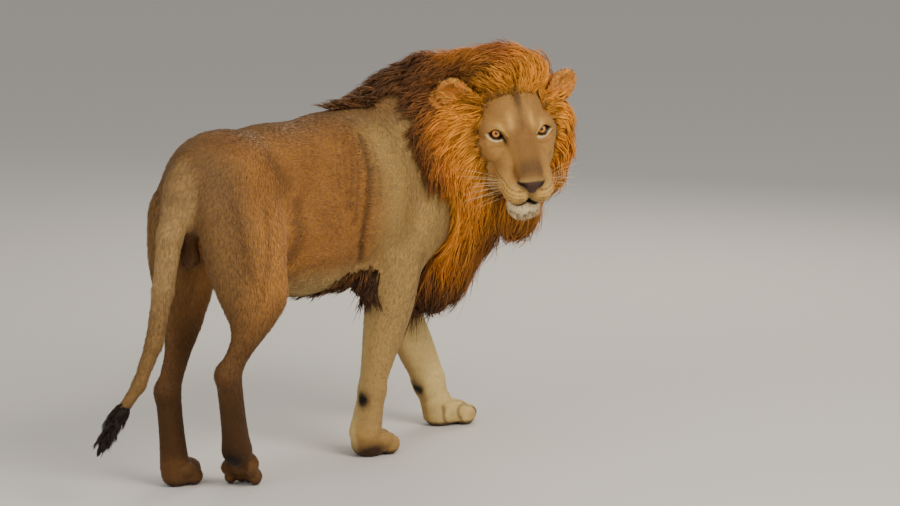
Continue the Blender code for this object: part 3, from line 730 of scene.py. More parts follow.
    def scrotum(self) -> None:
        """The two lobes that hang between the thighs, and what they hang by."""
        middle = np.array(POUCH)
        self.body.limb(place(*(middle + (0.003, 0, 0.068))), place(*middle), (0.020, 0.024), blend=0.012)
        for side, drop in ((1, 0.024), (-1, 0.014)):
            lobe = middle + (0.0, 0.011 * side, -drop)
            self.body.egg(place(*lobe), (0.024, 0.0195, 0.029), blend=0.004)

    def neck(self) -> None:
        """The neck under its mane, bending round to the right."""
        self.body.bars(
            ((0.36, 0, 0.88), (0.52, -0.05, 0.93), (0.20, 0.18, 0.165), (0, 1, 0), (0.82, 1.05)),
            ((0.50, -0.05, 0.93), (0.60, -0.17, 0.97), (0.165, 0.15, 0.14), (1, 1, 0), (0.85, 1.05)),
            ((0.60, -0.16, 0.97), (0.61, -0.29, 1.01), (0.14, 0.13, 0.115), (1, 0, 0), (0.95, 1.0)))

    def head(self) -> None:
        """Skull, brows, cheeks, nose bridge, muzzle and jaw."""
        limb, egg = self.body.head_limb, self.body.head_egg
        egg((-0.105, 0, 0.015), (0.125, 0.100, 0.082))
        egg((-0.19, 0, -0.035), (0.11, 0.105, 0.105))
        egg((-0.030, 0, 0.012), (0.080, 0.075, 0.045))
        limb((-0.01, 0, 0.004), (0.138, 0, -0.054), (0.044, 0.042, 0.037), (1.2, 0.85))
        for jaw in (self.body, self.lower):
            jaw.head_egg((0.112, 0, -0.190), (0.046, 0.052, 0.038), 0.010)
            jaw.head_limb((0.095, 0, -0.180), (-0.05, 0, -0.150), (0.040, 0.052, 0.062), (1.15, 0.9))
        for side in (-1, 1):
            limb((0.015, 0.072 * side, -0.050), (-0.10, 0.106 * side, -0.055), (0.040, 0.047, 0.052))
            limb((0.013, 0.042 * side, 0.024), (-0.02, 0.088 * side, 0.020), (0.018, 0.017))
            egg((-0.065, 0.082 * side, -0.105), (0.090, 0.055, 0.080))
            for lip in (self.body, self.upper):
                lip.head_egg((0.130, 0.036 * side, -0.116), (0.054, 0.045, 0.047), 0.008)
                lip.head_egg((0.070, 0.045 * side, -0.110), (0.072, 0.047, 0.058), 0.012)
            egg((0.015, 0.065 * side, -0.138), (0.070, 0.042, 0.055))
            egg((-0.035, 0.085 * side, 0.0), (0.05, 0.035, 0.035))
            egg((0.050, 0.048 * side, -0.062), (0.060, 0.034, 0.040))

    def face(self) -> None:
        """Nose leather, nostrils, philtrum, lips, eye sockets and eyelids, cut and laid finely."""
        self.body.head_egg((0.161, 0, -0.071), (0.027, 0.045, 0.027), 0.007)
        self.body.head_egg((0.166, 0, -0.093), (0.020, 0.017, 0.020), 0.006)

        def cut(start: Point, end: Point, radii: Point, flat: tuple[float, float], blend: float) -> None:
            """Carve a groove between two places on the head."""
            self.body.head_limb(start, end, radii, flat, True, blend)

        cut((0.196, 0, -0.076), (0.191, 0, -0.104), (0.0035, 0.0035), (1.0, 1.0), 0.006)
        cut((0.184, 0, -0.102), (0.166, 0, -0.150), (0.0055, 0.0055), (1.0, 1.0), 0.006)
        for side in (-1, 1):
            inner, outer, end = ((ahead, aside * side, up) for ahead, aside, up in NOSTRIL_CUT)
            cut(inner, outer, (0.0080, 0.0065), (1.0, 0.8), 0.004)
            cut(outer, end, (0.0060, 0.0032), (1.0, 0.7), 0.004)
            self.eye_surround(side)

    def eye_surround(self, side: int) -> None:
        """A socket, the lids round the ball, and the almond opening between them."""
        centre, axes = eye_centre(side), eye_axes(side)
        socket = centre + axes[2] * 0.026 - axes[1] * 0.004
        self.body.egg(socket, (0.034, 0.022, 0.016), axes, carved=True, blend=0.016)
        self.body.egg(centre, (EYE_RADIUS + 0.0062,) * 3, blend=0.009)
        slit = Slit(centre + axes[1] * EYE_LIFT, axes, *EYE_OPENING)
        self.body.masses.append(Mass(slit, 0.0035, 0.0, True))
        self.body.masses.append(Mass(Egg(centre, np.full(3, EYE_RADIUS - 0.0006), HEAD), 0.002, 0.0, True))

    def ruff(self) -> None:
        """The ruff round the face, and the mane over the neck and the chest."""
        egg, head_egg = self.mane.egg, self.mane.head_egg
        head_egg((-0.170, -0.025, 0.100), (0.100, 0.125, 0.114))
        egg(place(0.50, -0.07, 1.115), (0.12, 0.10, 0.11))
        head_egg((0.015, 0.015, -0.300), (0.085, 0.092, 0.105))
        head_egg((-0.04, -0.085, -0.42), (0.08, 0.08, 0.095))
        for step in range(RUFF_MASSES):
            angle = 2.0 * math.pi * step / RUFF_MASSES
            up = math.sin(angle)
            low = max(-up, 0.0)
            by_ear = math.exp(-((math.degrees(math.asin(up)) - 35.0) / 22.0) ** 2)
            out = RUFF_REACH - 0.035 * math.cos(angle) * max(up, 0.0) + 0.150 * low ** 2 - 0.085
            ahead = -0.140 + 0.070 * low - 0.10 * by_ear
            head_egg((ahead, out * math.cos(angle), out * up - 0.02), (0.075, 0.085, 0.085))
        head_egg((-0.15, 0, -0.075), (0.085, 0.185, 0.215))
        self.mane.bars(
            ((0.36, 0, 0.93), (0.52, -0.05, 0.985), (0.19, 0.205, 0.205), (0, 1, 0), (0.96, 1.05)),
            ((0.52, -0.05, 0.98), (0.615, -0.16, 1.00), (0.205, 0.20, 0.195), (1, 1, 0), (0.94, 1.03)),
            ((0.61, -0.15, 1.00), (0.625, -0.24, 1.01), (0.195, 0.165), (1, 0, 0), (0.95, 1.03)),
            ((0.62, -0.20, 0.90), (0.55, -0.08, 0.62), (0.20, 0.17, 0.15), (0, 1, 0), (1.0, 1.0)))
        egg(place(0.50, -0.03, 0.74), (0.17, 0.205, 0.26))
        egg(place(0.54, -0.06, 0.56), (0.12, 0.15, 0.18))

    def fringes(self) -> None:
        """The low crest along the withers and the hair behind the elbows."""
        self.mane.coat = 0.014
        self.mane.limb(place(0.02, 0, 1.035), place(0.40, 0, 1.085),
                       (0.016, 0.034, 0.055, 0.085), flat=(0.6, 1.0))
        for side in (-1, 1):
            self.mane.egg(place(0.13, 0.115 * side, 0.560), (0.085, 0.038, 0.052), blend=0.02)

    def skin(self) -> Sculpture:
        """Body and mane together, as the one surface that the skin follows."""
        return Sculpture(self.mane.masses + self.body.masses)


def lip_gap(anatomy: Anatomy, points: Array) -> Array:
    """How much nearer each point is to the lower jaw than to the upper lips; 0 on the mouth's line."""
    ahead, aside, up = head_coordinates(points).T
    mouth = (ahead > 0.0) & (up < -0.10) & (up > -0.20) & (np.hypot(ahead - 0.09, aside) < 0.13)
    gap = np.full(len(points), 1.0)
    gap[mouth] = anatomy.upper.distance(points[mouth]) - anatomy.lower.distance(points[mouth])
    return gap + 0.02 * ramp(-ahead, -0.035, -0.010)


def eye_axes(side: int) -> Array:
    """An eye's own directions: along the lids to the outer corner, up, and out through the pupil.

    The lids slope down to the inner corner and the opening turns a little outwards.
    """
    slope, swing = math.radians(12), math.radians(16)
    out = HEAD[0] * math.cos(swing) + HEAD[1] * side * math.sin(swing) + HEAD[2] * 0.05
    along = HEAD[1] * side * math.cos(slope) + HEAD[2] * math.sin(slope)
    out = unit(out)
    along = unit(along - out * (along @ out))
    up = HEAD[2] - along * (HEAD[2] @ along) - out * (HEAD[2] @ out)
    return np.array([along, unit(up), out])


def ear_sculpture(side: int, coat: float) -> Sculpture:
    """One round ear: a shallow cup on a short stem, opening forwards and outwards."""
    outward = unit(np.array(EARS[side][1]) @ HEAD)
    opening = np.array([0.88, 0.28 * side, 0.10]) @ HEAD
    opening = unit(opening - outward * (opening @ outward))
    turned = np.array([outward, opening, np.cross(outward, opening)])
    centre = in_head(*EARS[side][0])
    ear = Sculpture(coat=coat, blend=0.008)
    ear.egg(centre, (0.054, 0.023, 0.048), turned)
    ear.limb(centre - outward * 0.075, centre - outward * 0.02, (0.040, 0.040), opening, (0.5, 1.0))
    ear.egg(centre + opening * 0.021, (0.043, 0.025, 0.038), turned, carved=True)
    return ear


# ---- the skin

@dataclass
class SkinShape:
    """The skin as arrays: points, triangles and outward directions."""

    points: Array
    triangles: Array
    normals: Array


@dataclass(frozen=True)
class Crease:
    """A fold or swelling line on one flank, given by forward and up places along it."""

    side: int
    line: tuple[tuple[float, float], ...]
    width: float
    depth: float

    def offset(self, where: Array) -> Array:
        """depth times exp(-(d/width)^2), d being the distance to the line seen from the side."""
        distance = chain_distance(where[:, [0, 2]], self.line)
        return self.depth * np.exp(-(distance / self.width) ** 2) * ramp(where[:, 1] * self.side, 0.03, 0.07)


@dataclass
class SkinBuilder:
    """Turns the masses into one closed skin, finest on the face and feet."""

    anatomy: Anatomy
    step: float = 0.0112
    ear_step: float = 0.0036
    margin: float = 0.03
    passes: int = 21
    loss: float = 0.0012
    sole: float = 0.0015
    lip_depth: float = 0.0045
    lip_width: float = 0.0035

    def build(self) -> SkinShape:
        """The whole skin with its ears."""
        sculpture = self.anatomy.skin()
        lines = [np.arange(low - self.margin, high + self.margin, self.step) for low, high in zip(*CAD_BOX)]
        points, triangles = surface_nets(lines, sculpture.on_grid(lines))
        points = smoothed(points, triangles, 0.5 * self.broad(points), self.passes)
        points += point_normals(points, triangles) * (self.loss * self.broad(points))[:, None]
        for wanted in (self.fine, self.finest):
            points, triangles = refined(points, triangles, wanted(points[triangles].mean(axis=1)))
        points = self.settle(sculpture, points)
        points = smoothed(points, triangles, 0.25 * self.sharp(points), 2)
        raised = self.folds(points) - self.lip_crease(points)
        points = points + point_normals(points, triangles) * raised[:, None]
        points[:, 2] = np.maximum(points[:, 2], self.sole)
        for side in (-1, 1):
            points, triangles = self.with_ear(points, triangles, side)
        return SkinShape(points, triangles, point_normals(points, triangles))

    def broad(self, points: Array) -> Array:
        """How freely the surface is blended: fully on trunk and mane, not on face, feet and tail."""
        where = body_coordinates(points)
        off_floor = np.clip((where[:, 2] - 0.36) / 0.16, 0.0, 1.0)
        off_tail = np.clip((where[:, 0] + 0.655) / 0.05, 0.0, 1.0)
        by_pouch = ramp(near(points, place(*POUCH), (0.045, 0.045, 0.070)), 0.25, 0.55)
        return off_floor * off_tail * (1.0 - by_pouch) * (1.0 - self.sharp(points))

    def sharp(self, points: Array) -> Array:
        """1 on the bare face and the paws, where the surface follows the masses exactly."""
        muzzle = head_distance(points, 0.04, 0.0, -0.05)
        return np.maximum(1.0 - ramp(muzzle, 0.16, 0.21), 1.0 - ramp(points[:, 2], 0.11, 0.17))

    def fine(self, middles: Array) -> Array:
        """Triangles to be split once: face, paws and the narrow folds of the flank."""
        forward, left, up = body_coordinates(middles).T
        by_folds = (np.abs(forward - 0.02) < 0.10) & (np.abs(up - 0.83) < 0.20) & (np.abs(left) > 0.06)
        return (self.sharp(middles) > 0.04) | by_folds

    def finest(self, middles: Array) -> Array:
        """Triangles to be split again: the front of the face."""
        ahead, aside, up = head_coordinates(middles).T
        return (ahead > -0.015) & (np.abs(aside) < 0.105) & (np.abs(up + 0.09) < 0.115)

    def settle(self, sculpture: Sculpture, points: Array) -> Array:
        """Move the face's and paws' points onto the exact surface, p - n d, four times."""
        share = self.sharp(points)
        chosen = np.nonzero(share > 0.01)[0]
        for _ in range(4):
            distance, outward = sculpture.slope(points[chosen])
            move = np.clip(distance, -0.006, 0.006) * share[chosen]
            points[chosen] -= outward * move[:, None]
        return points

    def folds(self, points: Array) -> Array:
        """How far folds of skin, muscles and ribs raise or lower each point."""
        where = body_coordinates(points)
        return sum(crease.offset(where) for crease in CREASES) * (1.0 - self.sharp(points))

    def lip_crease(self, points: Array) -> Array:
        """How deep the mouth's line is at each point, d exp(-(g/w)^2) of the lips' gap g."""
        return self.lip_depth * np.exp(-(lip_gap(self.anatomy, points) / self.lip_width) ** 2)

    def with_ear(self, points: Array, triangles: Array, side: int) -> tuple[Array, Array]:
        """Add one ear, made on a finer grid; its stem ends inside the head."""
        ear = ear_sculpture(side, self.anatomy.ear_coat)
        middle = in_head(*EARS[side][0])
        lines = [np.arange(value - 0.10, value + 0.10, self.ear_step) for value in middle]
        own, faces = surface_nets(lines, ear.on_grid(lines))
        own = smoothed(own, faces, np.full(len(own), 0.4), 3)
        return np.concatenate([points, own]), np.concatenate([triangles, faces + len(points)])


# Folds and muscle edges on each flank: side, line from place to place, width and depth
CREASES = tuple(
    Crease(side, line, width, depth)
    for side in (-1, 1)
    for line, width, depth in (
        (((0.095, 0.995), (0.07, 0.88), (0.034, 0.74), (0.032, 0.68), (0.055, 0.62)), 0.012, -0.0105),
        (((0.075, 1.03), (0.045, 0.96), (0.027, 0.89), (-0.016, 0.75)), 0.009, -0.0050),
        (((0.050, 1.03), (0.020, 0.96), (0.003, 0.89), (-0.030, 0.80)), 0.009, -0.0045),
        (((0.020, 1.02), (-0.008, 0.95), (-0.028, 0.87)), 0.009, -0.0036),
        (((-0.015, 1.01), (-0.040, 0.94), (-0.062, 0.86)), 0.009, -0.0030),
        (((0.125, 0.99), (0.105, 0.90), (0.095, 0.80)), 0.010, -0.0040),
        (((0.20, 0.98), (0.22, 0.86), (0.20, 0.72)), 0.045, 0.0060),
        (((-0.27, 0.66), (-0.245, 0.74), (-0.25, 0.84)), 0.020, -0.0060),
        (((-0.32, 0.60), (-0.20, 0.66), (-0.10, 0.665)), 0.026, 0.0060),
        (((-0.56, 0.88), (-0.55, 0.76), (-0.52, 0.64)), 0.018, -0.0040),
        (((-0.45, 0.84), (-0.46, 0.70), (-0.50, 0.56)), 0.018, -0.0040),
        (((-0.36, 0.98), (-0.30, 0.90)), 0.030, -0.0045),
        (((0.30, 0.62), (0.26, 0.52), (0.225, 0.44)), 0.012, -0.0030),
    )
)


# ---- markings

class Tone(Enum):
    """Colours of coat, leather and mane, as linear red, green and blue; some hold painted sunlight and
    painted shade.
    """

    FLANK = (0.280, 0.120, 0.026)
    # Brighter orange of the haunch: partly the coat's colour, partly painted sunlight
    SUNLIT_THIGH = (0.440, 0.195, 0.042)
    # Dark rear of the rump: partly the coat's colour, partly painted shade
    RUMP = (0.140, 0.076, 0.027)
    BACK = (0.150, 0.073, 0.024)
    SHOULDER = (0.330, 0.205, 0.064)
    BELLY = (0.330, 0.185, 0.056)
    FORELEG = (0.360, 0.225, 0.076)
    INNER = (0.640, 0.470, 0.180)
    PAW = (0.370, 0.215, 0.062)
    # Dark hind shank, foot and paw: partly the coat's colour, partly painted shade
    SHADED_SHANK = (0.105, 0.048, 0.015)
    SHADED_HIND_FOOT = (0.066, 0.030, 0.010)
    HIND_PAW = (0.110, 0.050, 0.016)
    TAIL = (0.340, 0.205, 0.074)
    LOW_TAIL = (0.190, 0.105, 0.034)
    DARK = (0.050, 0.024, 0.012)
    BLACK = (0.014, 0.009, 0.007)
    BROW = (0.370, 0.185, 0.045)
    STREAK = (0.096, 0.052, 0.022)
    CHEEK = (0.440, 0.235, 0.060)
    BRIDGE = (0.230, 0.110, 0.028)
    CREAM = (0.800, 0.480, 0.120)
    WHITE = (0.900, 0.720, 0.420)
    LEATHER = (0.070, 0.036, 0.028)
    GOLD = (0.840, 0.340, 0.030)
    AMBER = (0.600, 0.210, 0.026)
    RUST = (0.290, 0.098, 0.022)
    CROWN = (0.360, 0.105, 0.020)
    BROWN = (0.190, 0.078, 0.022)
    UMBER = (0.060, 0.026, 0.011)

    @property
    def rgb(self) -> Array:
        """The tone as an array."""
        return np.array(self.value)


def layered(colours: Array, *coats: tuple[Tone, Array]) -> Array:
    """Colours with each tone in turn laid over them by its share, from 0 to 1."""
    for tone, share in coats:
        weight = np.clip(share, 0.0, 1.0)[:, None]
        colours = colours * (1.0 - weight) + tone.rgb * weight
    return colours


def mottle(points: Array, size: float, seed: int) -> Array:
    """A smooth uneven field from -1 to 1: the mean of sine waves run in eight random directions."""
    rng = np.random.default_rng(seed)
    waves = unit(rng.normal(size=(8, 3))) * rng.uniform(0.7, 1.6, (8, 1)) * (2.0 * math.pi / size)
    return np.sin(points @ waves.T + rng.uniform(0.0, 2.0 * math.pi, 8)).mean(axis=1) * 1.6


def toe_gap_shade(where: Array, ball: Point, toe: Point, half_width: float) -> Array:
    """1 in the three gaps between the four toes of a paw, where shade is painted, falling to 0 over the toes.
    """
    low, tip = np.array(ball), np.array(toe)
    ahead = unit(np.array([tip[0] - low[0], tip[1] - low[1], 0.0]))
    local = where - (tip[0], tip[1], 0.0)
    along = local @ ahead
    aside = local @ np.array([-ahead[1], ahead[0], 0.0]) / (TOE_SPREAD * half_width)
    gap = np.min([np.abs(aside - middle) for middle in (-0.70, 0.0, 0.70)], axis=0)
    close = ramp(along, -0.050, -0.015) * ramp(-np.abs(aside), -1.9, -1.5)
    return (1.0 - ramp(gap, 0.03, 0.12)) * (close * ramp(-local[:, 2], -0.085, -0.065))


def body_markings(points: Array) -> Array:
    """The short coat's colours on trunk, legs and tail, with painted sunlight and painted shade among them.
    """
    where = body_coordinates(points)
    forward, left, up = where.T
    hind = ramp(-forward, 0.15, 0.30)
    fore = (1.0 - hind) * ramp(-up, -0.66, -0.44)
    hind = hind * ramp(-up, -0.68, -0.40)
    underside = ramp(-up, -0.66, -0.56) * ramp(forward, -0.42, -0.30) * (1.0 - ramp(forward, 0.08, 0.16))
    inner = ramp(-np.abs(left), -0.09, -0.04) * ramp(-up, -0.75, -0.60) * ramp(-forward, 0.2, 0.3)
    pouch = ramp(near(points, place(*POUCH), (0.036, 0.042, 0.068)), 0.25, 0.5)
    folds = sum(crease.offset(where) for crease in CREASES)
    # The rear midline between the thighs, under the tail
    behind = ramp(-forward, 0.50, 0.56) * ramp(-up, -0.93, -0.86) * ramp(up, 0.62, 0.70)
    tail = (1.0 - ramp(chain_distance(points, TAIL_LINE), 0.052, 0.070)) * ramp(-forward, 0.60, 0.64)
    colours = layered(
        everywhere(Tone.FLANK.rgb)(points),
        # Painted sunlight: the haunch brighter and more orange than the flank, partly its own tone
        (Tone.SUNLIT_THIGH, ramp(-forward, 0.20, 0.34) * ramp(-up, -0.92, -0.78)),
        # Painted shade over the rear of the rump, partly the coat's own darker tone
        (Tone.RUMP, ramp(-forward, 0.46, 0.58) * 0.85),
        (Tone.SHOULDER, ramp(forward, 0.03, 0.17) * 0.95),
        (Tone.BACK, ramp(up, 0.985, 1.06) * 0.8),
        (Tone.BELLY, underside),
        (Tone.UMBER, belly_edge(points) * 0.8),
        (Tone.FORELEG, fore),
        # Hind legs darkening downwards: partly the coat's colour, partly painted shade
        (Tone.SHADED_SHANK, hind),
        (Tone.SHADED_HIND_FOOT, hind * ramp(-up, -0.38, -0.24) * 0.95),
        (Tone.HIND_PAW, hind * ramp(-up, -0.11, -0.07)),
        (Tone.PAW, fore * ramp(-up, -0.12, -0.05) * 0.8),
        (Tone.BELLY, inner * (1.0 - hind) * 0.7),
        (Tone.RUST, pouch * 0.55),
        (Tone.DARK, pouch * 0.25),
        # Painted shade in the folds of the flank, darker the deeper the crease
        (Tone.DARK, np.clip(-folds / 0.012, 0.0, 0.6) * (1.0 - hind)),
        # Painted shade in the groove between the thighs
        (Tone.STREAK, behind * ramp(-np.abs(left), -0.05, -0.02) * 0.55),
        (Tone.TAIL, tail * (1.0 - 0.55 * ramp(up, 0.80, 0.95))),
        (Tone.LOW_TAIL, tail * ramp(-up, -0.72, -0.42)),
        (Tone.BLACK, tail * ramp(-up, -0.32, -0.25)))
    for side, joints in ((1, FORE_LEGS["left"]), (-1, FORE_LEGS["right"])):
        _, _, *elbow_down = joints.values()
        bones = np.array(elbow_down[2::-1])
        axis = np.interp(up, bones[:, 2], bones[:, 1])
        own = 1.0 - ramp(np.abs(left - axis), 0.08, 0.10)
        pad = beside(joints["wrist"], -0.052, 0, -0.022)
        inner_face = 0.75 * own * fore * ramp(side * (axis - left), -0.012, 0.030)
        colours = layered(colours, (Tone.INNER, inner_face),
                          (Tone.BLACK, 1.6 * near(points, pad, (0.020, 0.020, 0.024))))
    for legs, half_width in ((HIND_LEGS, HIND_PAW_HALF), (FORE_LEGS, FORE_PAW_HALF)):
        for joints in legs.values():
            gaps = toe_gap_shade(where, joints["ball"], joints["toe"], half_width)
            # Painted shade in the gaps between the toes
            colours = layered(colours, (Tone.DARK, gaps * 0.6))
    lifted = beside(HIND_LEGS["right"]["ball"], -0.040, -0.004, -0.030)
    # Where the planted right forefoot meets the floor, for painted shade
    planted = beside(FORE_LEGS["right"]["ball"], -0.012, -0.020, -0.045)
    colours = layered(
        colours,
        (Tone.BLACK, 1.4 * near(points, lifted, (0.034, 0.040, 0.040))),
        # Dark patch low on the outside of the planted right forefoot: painted shade where it meets the floor
        (Tone.DARK, 1.5 * near(points, planted, (0.040, 0.060, 0.030))),
        # Everything within two centimetres of the floor: partly the dark pads, partly painted shade where the
        # feet meet it
        (Tone.DARK, ramp(-points[:, 2], -0.020, -0.009) * 0.9))
    return colours * (1.0 + 0.10 * mottle(points, 0.14, 3) + 0.06 * mottle(points, 0.035, 4))[:, None]


def face_markings(anatomy: Anatomy, points: Array, colours: Array) -> Array:
    """The face's colours laid over others: streak, eye rims, tear lines, muzzle, lips and chin, with painted
    shade at the mouth's corners.
    """
    local = head_coordinates(points)
    ahead, aside, up = local.T
    wide = np.abs(aside)
    mirrored = np.stack([ahead, wide, up], -1)

    def patch(places: Array, centre: Point, radii: Point) -> Array:
        """1 at a place of the head's frame, falling with distance."""
        return near(places, np.array(centre), radii, np.eye(3))

    face = 1.0 - ramp(np.linalg.norm((local - (0.0, 0.0, -0.03)) / (1.0, 0.82, 1.0), axis=1), 0.155, 0.185)
    bridge = ramp(-wide, -0.050, -0.024) * ramp(ahead, -0.02, 0.05) * ramp(up, -0.085, -0.06)
    streak = chain_distance(local, ((-0.11, 0.0, 0.12), (-0.04, 0.0, 0.075), (-0.005, 0.0, 0.045),
                                    (0.02, 0.0, 0.03)))
    over_lip = ramp(patch(mirrored, (0.125, 0.045, -0.116), (0.070, 0.046, 0.036)), 0.22, 0.60)
    chin = ramp(patch(local, (0.108, 0.0, -0.210), (0.070, 0.066, 0.056)), 0.15, 0.45)
    gap = lip_gap(anatomy, points)
    lips = ramp(gap, -0.0060, -0.0025) * (1.0 - ramp(gap, 0.0135, 0.0175)) * ramp(ahead, 0.018, 0.036)
    cleft = chain_distance(local, ((0.196, 0.0, -0.076), (0.191, 0.0, -0.104), (0.176, 0.0, -0.150)))
    colours = layered(
        colours,
        (Tone.BROW, face),
        (Tone.CHEEK, face * ramp(-up, 0.02, 0.06) * ramp(wide, 0.04, 0.07)),
        (Tone.BRIDGE, face * bridge * 0.85),
        (Tone.STREAK, face * bridge * ramp(ahead, 0.10, 0.145) * 0.70),
        (Tone.STREAK, face * (1.0 - ramp(streak, 0.006, 0.021)) * 0.85),
        (Tone.CREAM, face * 0.55 * patch(mirrored, (0.010, 0.034, 0.050), (0.030, 0.010, 0.024))),
        (Tone.CREAM, face * 0.60 * patch(mirrored, (0.022, 0.068, 0.034), (0.026, 0.012, 0.012))),
        (Tone.CREAM, over_lip * 0.9),
        (Tone.STREAK, whisker_rows(mirrored) * 0.85),
        (Tone.WHITE, chin * ramp(-up, 0.154, 0.168)),
        (Tone.BLACK, lips),
        # Dark corners of the mouth: partly the black lips, partly painted shade where the cheek meets the
        # mane
        (Tone.STREAK, patch(mirrored, (0.024, 0.094, -0.146), (0.024, 0.022, 0.016)) * 0.7),
        (Tone.BLACK, 1.0 - ramp(cleft, 0.005, 0.0095)))
    return nose_and_eyes(points, mirrored, colours)


def whisker_rows(mirrored: Array) -> Array:
    """1 along the four dark dotted lines on the whisker pads, which rise a little to the rear."""
    ahead, wide, up = mirrored.T
    height = (-up - 0.092 + 0.12 * (0.15 - ahead)) / WHISKER_ROW
    row = np.clip(np.round(height), 0, 3)
    off = np.abs(height - row) * WHISKER_ROW
    pad = ramp(wide, 0.020, 0.028) * ramp(ahead, 0.045, 0.075) * (np.hypot(ahead, wide) < 0.21)
    spots = 0.6 + 0.4 * np.cos((ahead + 0.003 * row) * 2.0 * math.pi / 0.011)
    return (1.0 - ramp(off, 0.0008, 0.0034)) * pad * spots


def nose_and_eyes(points: Array, mirrored: Array, colours: Array) -> Array:
    """The nose leather with painted shade in its nostrils, the black rims and inner corners of the eyes and
    the pale bands under them.
    """
    ahead, wide, up = mirrored.T
    top = -0.056 - 0.008 * (wide / 0.04) ** 2
    bottom = -0.100 + 0.024 * ramp(wide, 0.006, 0.034)
    leather = ramp(top - up, -0.0015, 0.002) * ramp(up - bottom, -0.002, 0.002)
    leather *= ramp(ahead, 0.148, 0.154) * (1.0 - ramp(wide, 0.045, 0.050)) * (ahead < 0.22)
    nostril = chain_distance(mirrored, ((0.192, 0.017, -0.077), *NOSTRIL_CUT[1:]))
    colours = layered(colours, (Tone.LEATHER, leather),
                      # Black in the nostrils: painted shade inside their openings
                      (Tone.BLACK, leather * (1.0 - ramp(nostril, 0.005, 0.010))))
    for side in (-1, 1):
        axes = eye_axes(side)
        centre = eye_centre(side) + axes[1] * EYE_LIFT
        along, rise, out = ((points - centre) @ axes.T).T
        ball = (np.abs(along) < 0.05) & (out > -0.01) & (out < 0.03)
        low = np.abs(np.hypot(along / 1.35, rise) - 0.0215)
        band = (1.0 - ramp(low, 0.0015, 0.0042)) * ramp(-rise, 0.003, 0.010) * ball * (out < 0.019)
        high = np.abs(np.hypot(along / 1.3, rise) - 0.028)
        over = (1.0 - ramp(high, 0.002, 0.007)) * ramp(rise, 0.008, 0.016)
        slit = Slit(centre, axes, *EYE_OPENING).distance(points)
        local = np.stack([along, rise], -1)
        tear = chain_distance(local, ((-0.019, -0.003), (-0.032, -0.011)))
        late = chain_distance(local, ((-0.032, -0.011), (-0.042, -0.022)))
        colours = layered(
            colours,
            (Tone.WHITE, band * 0.75),
            (Tone.CREAM, over * ball * ramp(-along, -0.010, 0.010) * 0.6),
            (Tone.BLACK, (1.0 - ramp(slit, 0.0045, 0.0078)) * ball),
            (Tone.BLACK, (1.0 - ramp(tear, 0.0026, 0.0066)) * ball),
            (Tone.STREAK, (1.0 - ramp(late, 0.003, 0.009)) * ball * 0.45))
    return colours


def mane_markings(points: Array) -> Array:
    """The mane: gold round the face, rusty further out, brown on the neck, blackish at its edges."""
    forward, _, up = body_coordinates(points).T
    ahead, aside, rise = head_coordinates(points).T
    from_head = head_distance(points, -0.10, 0.0, -0.02)
    ring = (1.0 - ramp(np.hypot(aside, rise + 0.02), 0.17, 0.235)) * ramp(ahead, -0.22, -0.10)
    beard = ramp(-rise, 0.16, 0.24) * ramp(ahead, -0.20, -0.08)
    throat = ramp(-rise, 0.15, 0.20) * (1.0 - ramp(-rise, 0.30, 0.42)) * ramp(ahead, -0.12, -0.02)
    crown = ramp(rise, 0.12, 0.18) * (1.0 - ramp(np.abs(aside), 0.02, 0.08))
    chest = ramp(-up, -0.90, -0.70) * ramp(forward, 0.44, 0.58)
    crest = ramp(up, 1.02, 1.12) * (1.0 - ramp(forward, 0.46, 0.60))
    rear = 1.0 - ramp(forward - 0.10 * (1.0 - up), 0.33, 0.42)
    behind_elbow = 1.0 - ramp(forward, 0.28, 0.36)
    colours = layered(
        everywhere(Tone.BROWN.rgb)(points),
        (Tone.RUST, 1.0 - ramp(from_head, 0.24, 0.42)),
        (Tone.AMBER, 1.0 - ramp(from_head, 0.21, 0.32)),
        (Tone.GOLD, ring),
        (Tone.AMBER, beard * (1.0 - ramp(-rise, 0.38, 0.52))),
        (Tone.GOLD, throat * 0.6),
        (Tone.CROWN, crown * 0.8),
        (Tone.BROWN, crown * ramp(-ahead, 0.14, 0.24) * 0.8),
        (Tone.BROWN, chest * 0.75),
        (Tone.UMBER, crest * (0.25 + 0.50 * ramp(forward, 0.28, 0.42))),
        (Tone.UMBER, rear * 0.6),
        (Tone.UMBER, ramp(-up, -0.60, -0.46) * 0.6),
        (Tone.UMBER, behind_elbow * ramp(-up, -0.70, -0.62)))
    return colours * (1.0 + 0.22 * mottle(points, 0.09, 7) + 0.10 * mottle(points, 0.03, 8))[:, None]


def belly_edge(points: Array) -> Array:
    """1 along the lower edge of the belly before the elbows, where longer hair hangs."""
    forward, _, up = body_coordinates(points).T
    along = ramp(forward, -0.10, 0.05) * (1.0 - ramp(forward, 0.10, 0.125))
    return along * ramp(-up, -0.61, -0.575) * (up > 0.50)


def ear_distances(points: Array) -> list[Array]:
    """How far each point lies from the middle of the right ear and of the left."""
    return [np.linalg.norm(points - in_head(*EARS[side][0]), axis=1) for side in (-1, 1)]


def ear_share(points: Array, near_by: float, away: float) -> Array:
    """1 within a distance of either ear's middle, 0 from another on."""
    return 1.0 - ramp(np.min(ear_distances(points), axis=0), near_by, away)


def ear_markings(points: Array, normals: Array, colours: Array) -> Array:
    """Tawny-gold fronts and dark backs."""
    fronts = ramp(normals @ HEAD[0], -0.15, 0.25)
    for distance in ear_distances(points):
        close = 1.0 - ramp(distance, 0.060, 0.072)
        colours = layered(colours, (Tone.AMBER, close), (Tone.DARK, close * (1.0 - fronts) * 0.8))
    return colours


